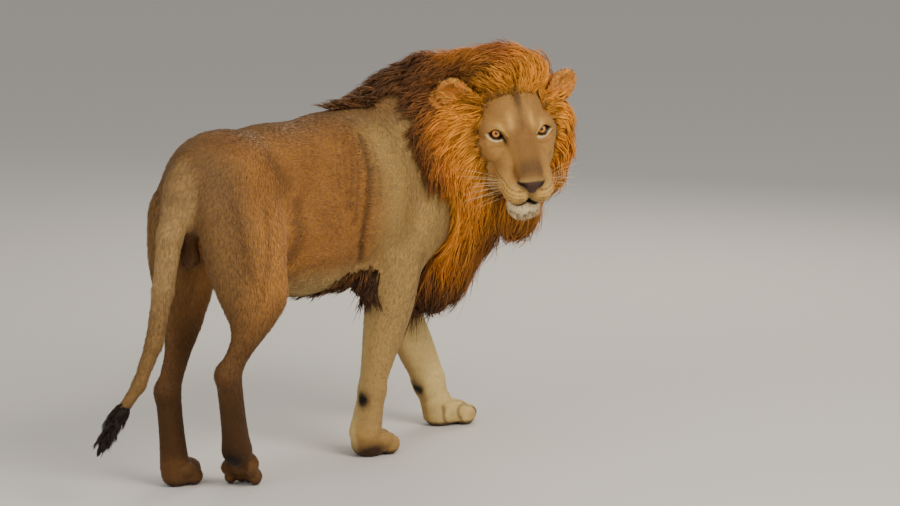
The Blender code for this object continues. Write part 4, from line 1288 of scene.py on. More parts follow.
@dataclass
class Markings:
    """Colours of the whole animal by place, the same for the skin and for the hair over it."""

    anatomy: Anatomy

    def mane_share(self, points: Array) -> Array:
        """How far a place belongs to the mane: where its masses lie outside the body's."""
        body = self.anatomy.body.distance(points)
        mane = self.anatomy.mane.distance(points)
        forward, left, up = body_coordinates(points).T
        beside = ramp(np.abs(left + 0.25 * ramp(forward, 0.3, 0.8)), 0.035, 0.060) * ramp(up, 0.68, 0.76)
        rear = beside * (1.0 - ramp(forward, 0.33, 0.40))
        return ramp(body - mane, -0.012, 0.004) * (1.0 - ear_share(points, 0.060, 0.072)) * (1.0 - rear)

    def fringe_share(self, points: Array) -> Array:
        """1 along the edge of the face, where its hair grows longer over the roots of the mane."""
        edge = self.anatomy.body.distance(points) - self.anatomy.mane.distance(points)
        band = ramp(edge, -0.034, -0.016) * (1.0 - ramp(edge, -0.006, 0.004))
        near_face = 1.0 - ramp(head_distance(points, -0.03, 0.0, -0.03), 0.19, 0.23)
        clear = ramp(head_distance(points, 0.10, 0.0, -0.16), 0.085, 0.11)
        return band * near_face * clear * ramp(-head_coordinates(points)[:, 0], -0.045, -0.015)

    def fringe_tone(self, points: Array) -> Array:
        """Halfway between the face's colours and the gold round it."""
        return 0.45 * self.at(points, everywhere(HEAD[0])(points)) + 0.55 * mane_markings(points)

    def at(self, points: Array, normals: Array) -> Array:
        """Colour of each point.

        Args:
            points: Points on or over the skin.
            normals: The skin's outward direction there.

        Returns:
            Linear colours, one to a row.
        """
        colours = body_markings(points)
        share = self.mane_share(points)[:, None]
        colours = colours * (1.0 - share) + mane_markings(points) * share
        colours = face_markings(self.anatomy, points, colours)
        return np.clip(ear_markings(points, normals, colours), 0.004, 0.9)


# ---- finishes

def feed(tree: NodeTree, made: bpy.types.Node, feeds: dict[str | int, object]) -> None:
    """Give a node's inputs their values, or link them to other nodes' outputs."""
    for name, value in feeds.items():
        if isinstance(value, bpy.types.NodeSocket):
            tree.links.new(value, made.inputs[name])
        else:
            made.inputs[name].default_value = value


def node(tree: NodeTree, kind: str, feeds: dict[str | int, object] | None = None,
         **values: object) -> bpy.types.Node:
    """A new shader node with its settings and what its inputs are fed with."""
    made = tree.nodes.new(kind)
    for name, value in values.items():
        setattr(made, name, value)
    feed(tree, made, feeds or {})
    return made


def new_material(name: str) -> tuple[Material, NodeTree, bpy.types.Node]:
    """A new material with its tree and its shader."""
    made = bpy.data.materials.new(name)
    made.use_nodes = True
    return made, made.node_tree, made.node_tree.nodes["Principled BSDF"]


def hair_grain_group() -> NodeTree:
    """The shared effect that varies hair colour finely and raises its strands.

    Inputs are Colour, Grain (its size in metres), Stretch along each axis and Amount; outputs
    are Colour and Height.
    """
    tree = bpy.data.node_groups.new("hair_grain", "ShaderNodeTree")
    for name, kind, value in (("Colour", "NodeSocketColor", (0.5, 0.5, 0.5, 1.0)),
                              ("Stretch", "NodeSocketVector", (1.0, 1.0, 1.0)),
                              ("Grain", "NodeSocketFloat", 300.0), ("Amount", "NodeSocketFloat", 0.3)):
        tree.interface.new_socket(name, in_out="INPUT", socket_type=kind).default_value = value
    tree.interface.new_socket("Colour", in_out="OUTPUT", socket_type="NodeSocketColor")
    tree.interface.new_socket("Height", in_out="OUTPUT", socket_type="NodeSocketFloat")
    given = node(tree, "NodeGroupInput").outputs
    where = node(tree, "ShaderNodeTexCoord").outputs["Object"]
    stretch = node(tree, "ShaderNodeVectorMath", {0: where, 1: given["Stretch"]}, operation="MULTIPLY")
    noise = node(tree, "ShaderNodeTexNoise", {
        "Vector": stretch.outputs[0], "Scale": given["Grain"], "Detail": 3.0, "Roughness": 0.65})
    grain = noise.outputs["Fac"]
    centred = node(tree, "ShaderNodeMath", {0: grain, 1: 0.5}, operation="SUBTRACT")
    scaled = node(tree, "ShaderNodeMath", {0: centred.outputs[0], 1: given["Amount"], 2: 1.0},
                  operation="MULTIPLY_ADD")
    tinted = node(tree, "ShaderNodeVectorMath", {0: given["Colour"], "Scale": scaled.outputs[0]},
                  operation="SCALE")
    node(tree, "NodeGroupOutput", {"Colour": tinted.outputs[0], "Height": grain})
    return tree


@dataclass(frozen=True)
class HairFinish:
    """The finish of skin or hair: painted tones, fine grain, a soft sheen and raised strands."""

    name: str
    group: NodeTree
    roughness: float = 0.62
    specular: float = 0.12
    sheen: float = 0.06
    grain: float = 240.0
    amount: float = 0.5
    stretch: tuple[float, float, float] = (1.0, 0.35, 1.0)
    relief: float = 0.0012

    def material(self) -> Material:
        """The material, reading the point colours called tone."""
        made, tree, shader = new_material(self.name)
        tone = node(tree, "ShaderNodeAttribute", attribute_name="tone")
        grain = node(tree, "ShaderNodeGroup", node_tree=self.group)
        feed(tree, grain, {"Grain": self.grain, "Amount": self.amount, "Stretch": self.stretch,
                           "Colour": tone.outputs["Color"]})
        bump = node(tree, "ShaderNodeBump", {
            "Strength": 0.6, "Distance": self.relief, "Height": grain.outputs["Height"]})
        feed(tree, shader, {
            "Base Color": grain.outputs["Colour"], "Normal": bump.outputs["Normal"],
            "Roughness": self.roughness, "Specular IOR Level": self.specular,
            "Sheen Weight": self.sheen, "Sheen Roughness": 0.45, "Sheen Tint": (1.0, 0.86, 0.66, 1.0)})
        return made


# How far from the pupil's middle each colour of the eye stands, and the colour
IRIS_STOPS = ((0.0, (0.004, 0.003, 0.002)), (0.24, (0.004, 0.003, 0.002)), (0.28, (0.30, 0.09, 0.014)),
              (0.40, (0.62, 0.25, 0.045)), (0.56, (0.70, 0.30, 0.06)), (0.66, (0.40, 0.14, 0.025)),
              (0.71, (0.020, 0.011, 0.007)), (1.0, (0.012, 0.008, 0.006)))


def eye_material() -> Material:
    """A wet amber eye, reading how far each point lies from the pupil's middle."""
    made, tree, shader = new_material("amber_eye")
    gaze = node(tree, "ShaderNodeAttribute", attribute_name="gaze")
    split = node(tree, "ShaderNodeSeparateXYZ", {0: gaze.outputs["Vector"]})
    rays = node(tree, "ShaderNodeVectorMath", {0: gaze.outputs["Color"], 1: (3.0, 3.0, 0.0)},
                operation="MULTIPLY")
    streaks = node(tree, "ShaderNodeTexNoise", {"Vector": rays.outputs[0], "Scale": 3.0, "Detail": 4.0})
    wobble = node(tree, "ShaderNodeMath", {0: streaks.outputs["Fac"], 1: 0.10, 2: split.outputs["Z"]},
                  operation="MULTIPLY_ADD")
    iris = node(tree, "ShaderNodeValToRGB", {"Fac": wobble.outputs[0]})
    stops = iris.color_ramp.elements
    for spot, colour in IRIS_STOPS:
        stop = stops[0] if spot == 0.0 else stops[-1] if spot == 1.0 else stops.new(spot)
        stop.color = (*colour, 1.0)
    feed(tree, shader, {"Base Color": iris.outputs["Color"], "Roughness": 0.35, "Specular IOR Level": 0.3,
                        "Coat Weight": 0.55, "Coat Roughness": 0.02, "Coat IOR": 1.38})
    return made


@dataclass(frozen=True)
class Eye:
    """One eyeball: a ball whose front bulges over the iris."""

    side: int
    radius: float = EYE_RADIUS
    bulge: float = 0.0016
    iris: float = 0.0115
    around: int = 72
    rings: int = 48

    def build(self, material: Material, gaze: Array) -> None:
        """The eye as a grid over two angles, r = R + b(1 - (s/i)^2)^2 within i of the pupil."""
        word = "left" if self.side > 0 else "right"
        across = unit(np.cross(HEAD[2], gaze))
        axes = np.array([across, np.cross(gaze, across), gaze])
        polar = np.linspace(0.0, math.pi, self.rings)[1:-1]
        turn = np.linspace(0.0, 2.0 * math.pi, self.around, endpoint=False)
        polar, turn = pairs(polar, turn)
        local = np.stack([np.sin(polar) * np.cos(turn), np.sin(polar) * np.sin(turn), np.cos(polar)], -1)
        local = np.concatenate([local, [(0.0, 0.0, 1.0), (0.0, 0.0, -1.0)]])
        off_axis = np.hypot(local[:, 0], local[:, 1]) * self.radius
        inside = np.clip(1.0 - (off_axis / self.iris) ** 2, 0.0, 1.0) * (local[:, 2] > 0)
        points = eye_centre(self.side) + (local * (self.radius + self.bulge * inside ** 2)[:, None]) @ axes
        made = new_object("eyeball_" + word, points, ball_triangles(self.rings - 2, self.around), material)
        share = np.where(local[:, 2] > 0, off_axis / self.radius, 1.0)
        layer = made.data.attributes.new("gaze", "FLOAT_VECTOR", "POINT")
        layer.data.foreach_set("vector", np.stack([unit(local)[:, 0], unit(local)[:, 1], share], -1).ravel())
        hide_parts("eye_" + word)


def ball_triangles(rings: int, around: int) -> Array:
    """Triangles of a ball given as rings from the top, then its top and bottom points."""
    ring, step = pairs(np.arange(rings - 1), np.arange(around))
    a, b = ring * around + step, ring * around + (step + 1) % around
    c, d = a + around, b + around
    top, bottom = rings * around, rings * around + 1
    first = np.arange(around)
    last = (rings - 1) * around + first
    return np.concatenate([
        np.stack([a, c, d], -1), np.stack([a, d, b], -1),
        np.stack([np.full(around, top), first, (first + 1) % around], -1),
        np.stack([np.full(around, bottom), (rings - 1) * around + (first + 1) % around, last], -1)])


# ---- studio

# Lamps: name, how far along the view, to its right and over the animal's middle, size, power, colour
LAMPS = (("key", -3.6, 3.0, 3.2, 3.0, 310.0, (1.0, 0.91, 0.80)),
         ("fill", -4.5, -3.4, 1.6, 4.0, 150.0, (1.0, 0.96, 0.90)),
         ("rim", 4.0, 1.5, 3.2, 2.6, 90.0, (1.0, 0.88, 0.72)))


@dataclass(frozen=True)
class Studio:
    """A plain floor, soft lights and the camera."""

    view_turn: float = math.radians(37)
    view_drop: float = math.radians(10)
    distance: float = 12.4
    focal: float = 164.0
    sensor: float = 36.0
    aim_aside: float = 0.03378049
    aim_up: float = 0.00731707
    floor_half: float = 30.0

    def view(self) -> Array:
        """The direction in which the camera looks at the animal."""
        return toward(math.cos(self.view_drop) * math.cos(self.view_turn),
                      math.cos(self.view_drop) * math.sin(self.view_turn), -math.sin(self.view_drop))

    def build(self) -> None:
        """Floor, lights, world and camera."""
        self.floor()
        look = self.view()
        right = unit(np.cross(look, (0.0, 0.0, 1.0)))
        above = np.cross(right, look)
        camera = bpy.data.cameras.new("camera")
        camera.lens, camera.sensor_width, camera.clip_end = self.focal, self.sensor, 60.0
        aim = unit(look + right * self.aim_aside + above * self.aim_up)
        spot = place(0.0, 0.0, 0.55) - look * self.distance
        bpy.context.scene.camera = self.aimed(camera, spot, aim, above)
        middle = place(0.0, 0.0, 0.6)
        for name, along, across, rise, size, power, colour in LAMPS:
            lamp = bpy.data.lights.new(name, "AREA")
            lamp.size, lamp.energy, lamp.color = size, power, colour
            spot = middle + look * along + right * across + (0, 0, rise)
            self.aimed(lamp, spot, unit(middle - spot), (0.0, 0.0, 1.0))
        world = bpy.context.scene.world or bpy.data.worlds.new("studio")
        bpy.context.scene.world = world
        world.use_nodes = True
        feed(world.node_tree, world.node_tree.nodes["Background"],
             {"Color": (0.84, 0.82, 0.79, 1.0), "Strength": 0.55})

    @staticmethod
    def aimed(data: bpy.types.ID, spot: Array, aim: Array, above: Point) -> Object:
        """A camera or a lamp at a spot, looking along aim."""
        made = linked(data.name, data)
        side = unit(np.cross(aim, above))
        rows = np.stack([side, np.cross(side, aim), -aim, spot], -1)
        made.matrix_world = Matrix([*rows.tolist(), (0.0, 0.0, 0.0, 1.0)])
        return made

    def floor(self) -> None:
        """A wide pale floor."""
        half = self.floor_half
        mesh = bpy.data.meshes.new("floor")
        corners = [(-half, -half, 0.0), (half, -half, 0.0), (half, half, 0.0), (-half, half, 0.0)]
        mesh.from_pydata(corners, [], [(0, 1, 2, 3)])
        material, tree, shader = new_material("pale_floor")
        feed(tree, shader, {"Base Color": (0.62, 0.60, 0.57, 1.0), "Roughness": 0.85})
        mesh.materials.append(material)
        linked("floor", mesh)


# ---- the lie of the hair

@dataclass(frozen=True)
class Stream:
    """A stretch of the body along which the hair lies from start to end."""

    start: Array
    end: Array
    reach: float
    weight: float = 1.0

    def pull(self, points: Array) -> Array:
        """The stream's direction at each point, weaker with distance d as exp(-(d/reach)^2)."""
        distance = segment_distance(points, self.start, self.end)
        strength = self.weight * np.exp(-(distance / self.reach) ** 2) + 1e-5
        return strength[:, None] * unit(self.end - self.start)


def coat_streams() -> list[Stream]:
    """The lie of the short coat: back from the nose, along the trunk, down the legs and tail."""
    streams = [
        Stream(place(0.45, 0, 1.0), place(-0.50, 0, 1.0), 0.20),
        Stream(place(0.40, 0, 0.66), place(-0.30, 0, 0.70), 0.16),
        Stream(place(-0.40, 0, 1.0), place(-0.60, 0, 0.80), 0.12),
        Stream(in_head(0.15, 0, -0.03), in_head(0.0, 0, 0.03), 0.05),
        Stream(in_head(0.0, 0, 0.03), in_head(-0.10, 0, 0.12), 0.06),
        Stream(in_head(0.08, 0, -0.22), in_head(-0.05, 0, -0.24), 0.05),
        Stream(in_head(0.165, 0, -0.165), in_head(0.12, 0, -0.24), 0.035, 3.0),
    ]
    for side in (-1, 1):
        for start, end, reach in (((0.13, 0.04, -0.09), (-0.02, 0.12, -0.09), 0.06),
                                  ((0.02, 0.07, 0.03), (-0.08, 0.13, 0.08), 0.05),
                                  ((0.02, 0.08, -0.03), (-0.08, 0.15, -0.04), 0.05)):
            ends = (in_head(ahead, aside * side, up) for ahead, aside, up in (start, end))
            streams.append(Stream(*ends, reach))
    for legs, reaches in ((HIND_LEGS, (0.15, 0.10, 0.08, 0.06)), (FORE_LEGS, (0.12, 0.12, 0.10, 0.08, 0.06))):
        for joints in legs.values():
            bones = pairwise([place(*joint) for joint in joints.values()])
            streams += [Stream(*bone, reach, 1.3) for bone, reach in zip(bones, reaches)]
    return streams + [Stream(*bone, 0.06, 3.0) for bone in pairwise(TAIL_LINE)]


def coat_flow(points: Array) -> Array:
    """The direction of the short coat at each point."""
    return unit(sum(stream.pull(points) for stream in COAT_STREAMS))


def mane_flow(points: Array) -> Array:
    """The direction of the mane: outwards from the face, back along the neck and down the chest."""
    up = head_coordinates(points)[:, 2]
    forward, left, height = body_coordinates(points).T
    round_face = np.exp(-(head_distance(points, *FACE_MIDDLE) / 0.24) ** 4)
    rise = ramp(up, 0.0, 0.12)
    ruff = from_face(points) - (0.45 + 0.9 * rise)[:, None] * HEAD[0] + (0.55 - 0.35 * rise)[:, None] * DOWN
    back = unit(toward(-0.65, 0.42, -0.42))
    side = np.sign(left + 0.12 * ramp(forward, 0.45, 0.60))[:, None] * toward(0, 0.30, 0)
    low = ramp(-height, -1.0, -0.72)
    neck = back + side + low[:, None] * toward(0.25, -0.25, -1.2)
    neck = neck + on_crest(forward, height)[:, None] * toward(-1.0, -0.1, 0.25)
    return unit(round_face[:, None] * unit(ruff) + (1.0 - round_face)[:, None] * unit(neck))


def from_face(points: Array) -> Array:
    """Outward from the face's middle line, level with the head."""
    _, aside, up = head_coordinates(points).T
    return unit(aside[:, None] * HEAD[1] + (up + 0.03)[:, None] * HEAD[2])


def on_crest(forward: Array, up: Array) -> Array:
    """1 on the mane's crest over the neck and withers."""
    return ramp(up, 1.02, 1.10) * (1.0 - ramp(forward, 0.45, 0.58))


def ear_flow(points: Array) -> Array:
    """The hair inside the ears, from their middles out over their edges."""
    side = np.sign(head_coordinates(points)[:, 1])[:, None]
    stem = in_head(EARS[1][0][0] - 0.01, 0.0, EARS[1][0][2] - 0.045) + side * 0.135 * HEAD[1]
    return unit(unit(points - stem) + 0.25 * HEAD[0])


def fringe_flow(points: Array) -> Array:
    """The lie of the hair at the face's edge: outwards, back and down."""
    return unit(from_face(points) - 0.35 * HEAD[0] + 0.25 * DOWN)


# ---- roots on the skin

@dataclass
class Roots:
    """Places on the skin from which hair grows."""

    points: Array
    normals: Array
    uv: Array


@dataclass
class Ground:
    """The skin as the ground that hair grows from."""

    shape: SkinShape
    corner_uv: Array
    tree: BVHTree

    def scatter(self, count: int, density: Field, seed: int) -> Roots:
        """Roots spread at random, as thickly as density says.

        Args:
            count: How many roots.
            density: Weight of each point of ground.
            seed: Seed of the random draw.

        Returns:
            The roots.
        """
        rng = np.random.default_rng(seed)
        corners = self.shape.points[self.shape.triangles]
        area = np.linalg.norm(np.cross(corners[:, 1] - corners[:, 0], corners[:, 2] - corners[:, 0]), axis=1)
        weight = np.cumsum(area * density(corners.mean(axis=1)))
        chosen = np.searchsorted(weight, (np.arange(count) + rng.random(count)) / count * weight[-1])
        chosen = np.minimum(chosen, len(weight) - 1)
        first, second = rng.random((2, count))
        over = first + second > 1.0
        first, second = np.where(over, 1.0 - first, first), np.where(over, 1.0 - second, second)
        share = np.stack([1.0 - first - second, first, second], -1)[:, :, None]
        normals = unit((self.shape.normals[self.shape.triangles[chosen]] * share).sum(axis=1))
        points, uv = ((of_corners[chosen] * share).sum(axis=1) for of_corners in (corners, self.corner_uv))
        return Roots(points, normals, uv)

    def nearest(self, points: Array) -> Roots:
        """The nearest places on the skin to some points."""
        found = [self.tree.find_nearest(point) for point in points.tolist()]
        uv = self.corner_uv[[hit[2] for hit in found]].mean(axis=1)
        return Roots(*(np.array([hit[k] for hit in found]) for k in (0, 1)), uv)


# ---- hair as closed meshes

@dataclass
class HairMesh:
    """Arrays of one piece of hair, all its tufts alike in how they are joined up."""

    points: Array
    triangles: Array
    tones: Array
    uv: Array
    normals: Array | None = None


def tuft_mesh(roots: Roots, along: Array, length: Array, width: Array, lift: Array, tones: Array) -> HairMesh:
    """Small closed tufts, each a slender three-sided double pyramid lying along the skin.

    Args:
        roots: Where the tufts grow.
        along: Each tuft's direction, along the skin.
        length: Each tuft's length.
        width: Half of each tuft's width.
        lift: How far each tip stands off the skin.
        tones: Each tuft's colour.

    Returns:
        The mesh of all of them.
    """
    normal = roots.normals
    side = unit(np.cross(along, normal))
    belly = roots.points + along * (0.38 * length)[:, None] + normal * (0.35 * lift)[:, None]
    points = np.stack([
        roots.points - normal * 0.0008, belly - side * width[:, None], belly + side * width[:, None],
        belly + normal * (0.55 * width)[:, None],
        roots.points + along * length[:, None] + normal * lift[:, None]], axis=1)
    pattern = np.array([(0, 3, 1), (0, 2, 3), (1, 3, 4), (3, 2, 4), (0, 1, 2), (2, 1, 4)])
    across = np.array([(0.5, 0.0), (0.0, 0.4), (1.0, 0.4), (0.5, 0.4), (0.5, 1.0)])
    # Darker toward the buried root as painted shade, lighter on the ridge as painted light, palest at the tip
    shade = np.array([0.80, 0.98, 0.98, 1.04, 1.10])
    return repeated(points, pattern, across, tones, shade, roots.uv, normal)


def strand_mesh(paths: Array, up: Array, width: Array, tones: Array, uv: Array, tip: float) -> HairMesh:
    """Tapering closed strands with a three-sided section, swept along their paths.

    Args:
        paths: One row of stations to a strand.
        up: The outward direction at each station.
        width: Half the width of each strand.
        tones: Each strand's colour.
        uv: Each strand's place on the unwrapped skin.
        tip: Brightness of the tips next to that of the middle.

    Returns:
        The mesh of all of them.
    """
    count = paths.shape[1]
    run = np.gradient(paths, axis=1)
    side = unit(np.cross(run, up))
    over = unit(np.cross(side, run))
    share = np.linspace(0.0, 1.0, count)
    profile = (0.55 + 0.45 * np.sin(np.minimum(share * 1.9, 1.0) * math.pi / 2)) * (1.0 - share ** 2.2)
    half = width[:, None] * profile
    left = paths - side * half[:, :, None]
    right = paths + side * half[:, :, None]
    ridge = paths + over * (0.62 * half)[:, :, None]
    rings = np.stack([left, right, ridge], axis=2)[:, :-1].reshape(len(paths), -1, 3)
    points = np.concatenate([rings, paths[:, -1:]], axis=1)
    pattern = [(0, 2, 1)]
    for ring in range(count - 2):
        low, high = 3 * ring, 3 * ring + 3
        for a, b in ((1, 0), (2, 1), (0, 2)):
            pattern.extend([(low + a, low + b, high + b), (low + a, high + b, high + a)])
    last = 3 * (count - 2)
    pattern.extend([(last + a, last + b, 3 * (count - 1)) for a, b in ((1, 0), (2, 1), (0, 2))])
    pattern = np.array(pattern)[:, ::-1]
    across = np.array([(0.0, 0.0), (1.0, 0.0), (0.5, 0.0)])
    places = np.concatenate([across + (0.0, step) for step in share[:-1]] + [[(0.5, 1.0)]])
    low = share[:-1]
    # Darker toward the root as painted shade among the hair, then toward the tip by tip
    shade = 0.62 + 0.42 * np.minimum(low * 2.2, 1.0) * (1.0 + (tip - 1.0) * low)
    shade = np.append(np.repeat(shade, 3), tip)
    return repeated(points, pattern, places, tones, shade, uv, None)


def repeated(points: Array, pattern: Array, across: Array, tones: Array, shade: Array, uv: Array,
             normals: Array | None) -> HairMesh:
    """Lay out many copies of one pattern of points and triangles as a single mesh.

    Args:
        points: The points of each copy.
        pattern: Triangles of one copy.
        across: Where each point of a copy lies on its small patch, from 0 to 1.
        tones: Colour of each copy.
        shade: Brightness of each point of a copy, darker toward the roots as painted shade.
        uv: Each copy's place on the unwrapped skin.
        normals: Direction that shades each copy, or None for its own form.

    Returns:
        The joined mesh.
    """
    copies, size = points.shape[:2]
    triangles = (pattern[None] + (np.arange(copies) * size)[:, None, None]).reshape(-1, 3)
    colours = (tones[:, None] * shade[None, :, None]).reshape(-1, 3)
    patch = uv[:, None] + (across[None] - 0.5) * PATCH
    corner_uv = patch.reshape(-1, 2)[triangles.ravel()]
    spread = None if normals is None else np.repeat(normals, size, axis=0)
    colours = colours * np.minimum(1.0, 0.9 / colours.max(axis=1, keepdims=True))
    return HairMesh(points.reshape(-1, 3), triangles, np.maximum(colours, 0.002), corner_uv, spread)


def hair_object(name: str, hair: HairMesh, material: Material) -> Object:
    """One piece of coat from its arrays.

    Args:
        name: The piece's name.
        hair: Its mesh.
        material: Its finish.

    Returns:
        The new object.
    """
    made = new_object(name, hair.points, hair.triangles, material)
    paint(made, "tone", hair.tones)
    write_uv(made, "OFBake", hair.uv)
    if hair.normals is not None:
        own = point_normals(hair.points, hair.triangles)
        soft = unit(own * 0.45 + hair.normals * 0.75)
        made.data.normals_split_custom_set_from_vertices(soft.tolist())
    return made


class CoatPart(Enum):
    """The pieces that the short coat is laid in."""

    TRUNK_LEFT = "coat_trunk_left"
    TRUNK_RIGHT = "coat_trunk_right"
    HIND_LEGS = "coat_hind_legs"
    FORE_LEGS = "coat_fore_legs"
    FACE = "coat_face"
    TAIL = "coat_tail"


TUFTS = {CoatPart.TRUNK_LEFT: 17000, CoatPart.TRUNK_RIGHT: 18000, CoatPart.HIND_LEGS: 16000,
         CoatPart.FORE_LEGS: 14000, CoatPart.FACE: 22000, CoatPart.TAIL: 5000}


def on_tail(forward: Array, up: Array) -> Array:
    """True on the tail."""
    return ((forward < -0.60) & (up < 0.95) & ~((forward > -0.66) & (up < 0.52))) | (forward < -0.70)


@dataclass
class ShortCoat:
    """The short coat: fine tufts that lie along the whole body, smallest on face and feet."""

    ground: Ground
    markings: Markings
    material: Material
    body_length: float = 0.018
    face_length: float = 0.0072
    foot_length: float = 0.0080
    slender: float = 0.075

    def part_share(self, part: CoatPart, points: Array) -> Array:
        """True where a point belongs to a part of the coat."""
        forward, left, up = body_coordinates(points).T
        head = head_distance(points, -0.04, 0.0, -0.05) < 0.235
        tail = on_tail(forward, up)
        low_hind = (forward < -0.20) & (up < 0.66) & ~tail
        low_fore = (forward > -0.05) & (up < 0.60)
        rest = ~(head | tail | low_hind | low_fore)
        return {CoatPart.FACE: head, CoatPart.TAIL: tail & ~head, CoatPart.HIND_LEGS: low_hind & ~head,
                CoatPart.FORE_LEGS: low_fore & ~head, CoatPart.TRUNK_LEFT: rest & (left > 0),
                CoatPart.TRUNK_RIGHT: rest & (left <= 0)}[part]

    def length(self, points: Array) -> Array:
        """The coat's length at each point."""
        legs = ramp(-body_coordinates(points)[:, 2], -0.62, -0.15)
        length = self.body_length + (self.foot_length - self.body_length) * legs
        face = 1.0 - ramp(head_distance(points, 0.03, 0.0, -0.05), 0.13, 0.22)
        length = length + (self.face_length - length) * face
        muzzle = 1.0 - ramp(head_distance(points, 0.13, 0.0, -0.07), 0.05, 0.12)
        return length * (1.0 - 0.35 * muzzle)

    def bare(self, points: Array) -> Array:
        """1 on nose leather, lips, eye rims and soles, which carry no hair."""
        tones = self.markings.at(points, np.zeros_like(points))
        black = 1.0 - ramp(tones.sum(axis=1), 0.138, 0.158)
        bare = black * (np.linalg.norm(head_coordinates(points), axis=1) < 0.24)
        for side in (-1, 1):
            from_eye = np.linalg.norm(points - eye_centre(side), axis=1)
            bare = np.maximum(bare, 1.0 - ramp(from_eye, 0.0265, 0.0285))
        return np.maximum(bare, ramp(-points[:, 2], -0.006, -0.004))

    def build(self, part: CoatPart, count: int, seed: int) -> None:
        """Lay one part of the coat."""
        def density(points: Array) -> Array:
            """More tufts where they are shorter, none in the mane or on bare places."""
            share = self.part_share(part, points) * (1.0 - 0.92 * self.markings.mane_share(points))
            return share * (1.0 - self.bare(points)) / self.length(points) ** 1.1

        rng = np.random.default_rng(seed)
        roots = self.ground.scatter(count, density, seed)
        lie = coat_flow(roots.points) + 0.16 * rng.normal(size=(count, 3))
        lie = unit(lie - roots.normals * np.sum(lie * roots.normals, axis=1, keepdims=True))
        length = self.length(roots.points) * rng.uniform(0.7, 1.25, count)
        tones = self.markings.at(roots.points, roots.normals)
        grey = tones.mean(axis=1, keepdims=True)
        tones = tones + (grey - tones) * rng.uniform(0.0, 0.22, (count, 1))
        tones = tones * np.exp(rng.normal(0.0, 0.13, (count, 1)))
        lift = length * rng.uniform(0.08, 0.22, count)
        hair = tuft_mesh(roots, lie, length, length * self.slender, lift, tones)
        hair_object(part.value, hair, self.material)


@dataclass(frozen=True)
class Locks:
    """One piece of long hair: clumps of strands that leave together and close in at their tips."""

    name: str
    where: Field
    flow: Field
    length: Field
    clumps: int
    strands: int = 8
    width: float = 0.0024
    spread: float = 0.014
    height: tuple[float, float] = (0.006, 0.026)
    wave: float = 0.004
    gravity: float = 0.15
    stations: int = 6
    tip: float = 1.25
    slot: str = "mane"
    tone: Field | None = None

    def trace(self, ground: Ground, roots: Roots, length: Array,
              rng: np.random.Generator) -> tuple[Array, Array]:
        """Carry each clump's middle line over the skin, step by step.

        A step follows the lie of the hair along the skin, bends down by gravity, and is then set
        at its height over the nearest skin, which grows from near nothing at the root.

        Args:
            ground: The skin.
            roots: The clumps' roots.
            length: The clumps' lengths.
            rng: The random source.

        Returns:
            The lines' stations, and the outward direction at each.
        """
        count = len(roots.points)
        final = rng.uniform(*self.height, count)
        phase = rng.uniform(0.0, 2.0 * math.pi, count)
        sway = rng.normal(0.0, 0.16, (count, 3))
        here, normal = roots.points, roots.normals
        paths, ups = [here], [normal]
        for step in range(1, self.stations):
            share = step / (self.stations - 1)
            lie = self.flow(here) + sway + self.gravity * share * DOWN
            lie = unit(lie - normal * (0.9 * np.sum(lie * normal, axis=1, keepdims=True)))
            bend = self.wave * np.cos(phase + share * 7.0) * share ** 0.5
            onward = lie * (length / (self.stations - 1))[:, None]
            here = here + onward + unit(np.cross(lie, normal)) * bend[:, None]
            foot = ground.nearest(here)
            normal = foot.normals
            off = np.sum((here - foot.points) * normal, axis=1)
            wanted = final * min(1.0, share * 1.5) ** 0.8
            lifted = here + normal * (wanted - off)[:, None]
            here = np.where((off < wanted)[:, None] | (off < 0.06)[:, None], lifted, here)
            paths.append(here)
            ups.append(normal)
        return np.stack(paths, axis=1), np.stack(ups, axis=1)

    def build(self, ground: Ground, material: Material, seed: int) -> None:
        """Lay the clumps and their strands."""
        rng = np.random.default_rng(seed)
        roots = ground.scatter(self.clumps, self.where, seed)
        length = self.length(roots.points) * rng.uniform(0.75, 1.2, self.clumps)
        paths, ups = self.trace(ground, roots, length, rng)
        total = self.clumps * self.strands
        share = np.linspace(0.0, 1.0, self.stations)[None, :, None]
        paths, ups = (np.repeat(array, self.strands, axis=0) for array in (paths, ups))
        run = unit(np.gradient(paths, axis=1))
        side = unit(np.cross(run, ups))
        aside, deep = rng.normal(0.0, 0.5, (2, total, 1, 1)) * self.spread
        gather = 1.0 - 0.72 * share ** 1.4
        curl = rng.normal(0.0, 0.5, (total, 1, 1)) * self.wave * share ** 1.5
        stray = rng.normal(0.0, 0.10, (total, 1, 3)) * length.repeat(self.strands)[:, None, None]
        stray = stray * share ** 2 * 0.8
        stretch = (rng.uniform(0.72, 1.12, (total, 1, 1)) - 1.0) * share
        paths = paths + side * (aside * gather + curl) + ups * np.abs(deep) * 0.6 * gather + stray
        paths = paths + (paths - paths[:, :1]) * stretch
        low, high = np.array(CAD_BOX)
        paths = np.clip(paths, low - (LOCK_ROOM, LOCK_ROOM, -FLOOR_ROOM), high + LOCK_ROOM)
        middle = roots.points + self.flow(roots.points) * (0.35 * length)[:, None]
        tones = (self.tone or mane_markings)(middle) * np.exp(rng.normal(0.0, 0.20, (self.clumps, 1)))
        tones = np.repeat(tones, self.strands, axis=0) * np.exp(rng.normal(0.0, 0.22, (total, 1)))
        width = self.width * rng.uniform(0.6, 1.3, total)
        hair = strand_mesh(paths, ups, width, tones, np.repeat(roots.uv, self.strands, axis=0), self.tip)
        hair_object(self.name, hair, material)


def mane_length(points: Array) -> Array:
    """The mane's length: shorter round the face and on the crest, longest on the chest."""
    forward, _, height = body_coordinates(points).T
    length = 0.115 + 0.050 * ramp(-height, -0.95, -0.65)
    length -= 0.035 * (1.0 - ramp(head_distance(points, *FACE_MIDDLE), 0.15, 0.24))
    length -= 0.060 * (1.0 - ramp(forward, 0.26, 0.40))
    length -= 0.030 * ramp(-height, -0.70, -0.62) * (1.0 - ramp(forward, 0.20, 0.30))
    return length - 0.040 * on_crest(forward, height) * ramp(forward, 0.26, 0.40)


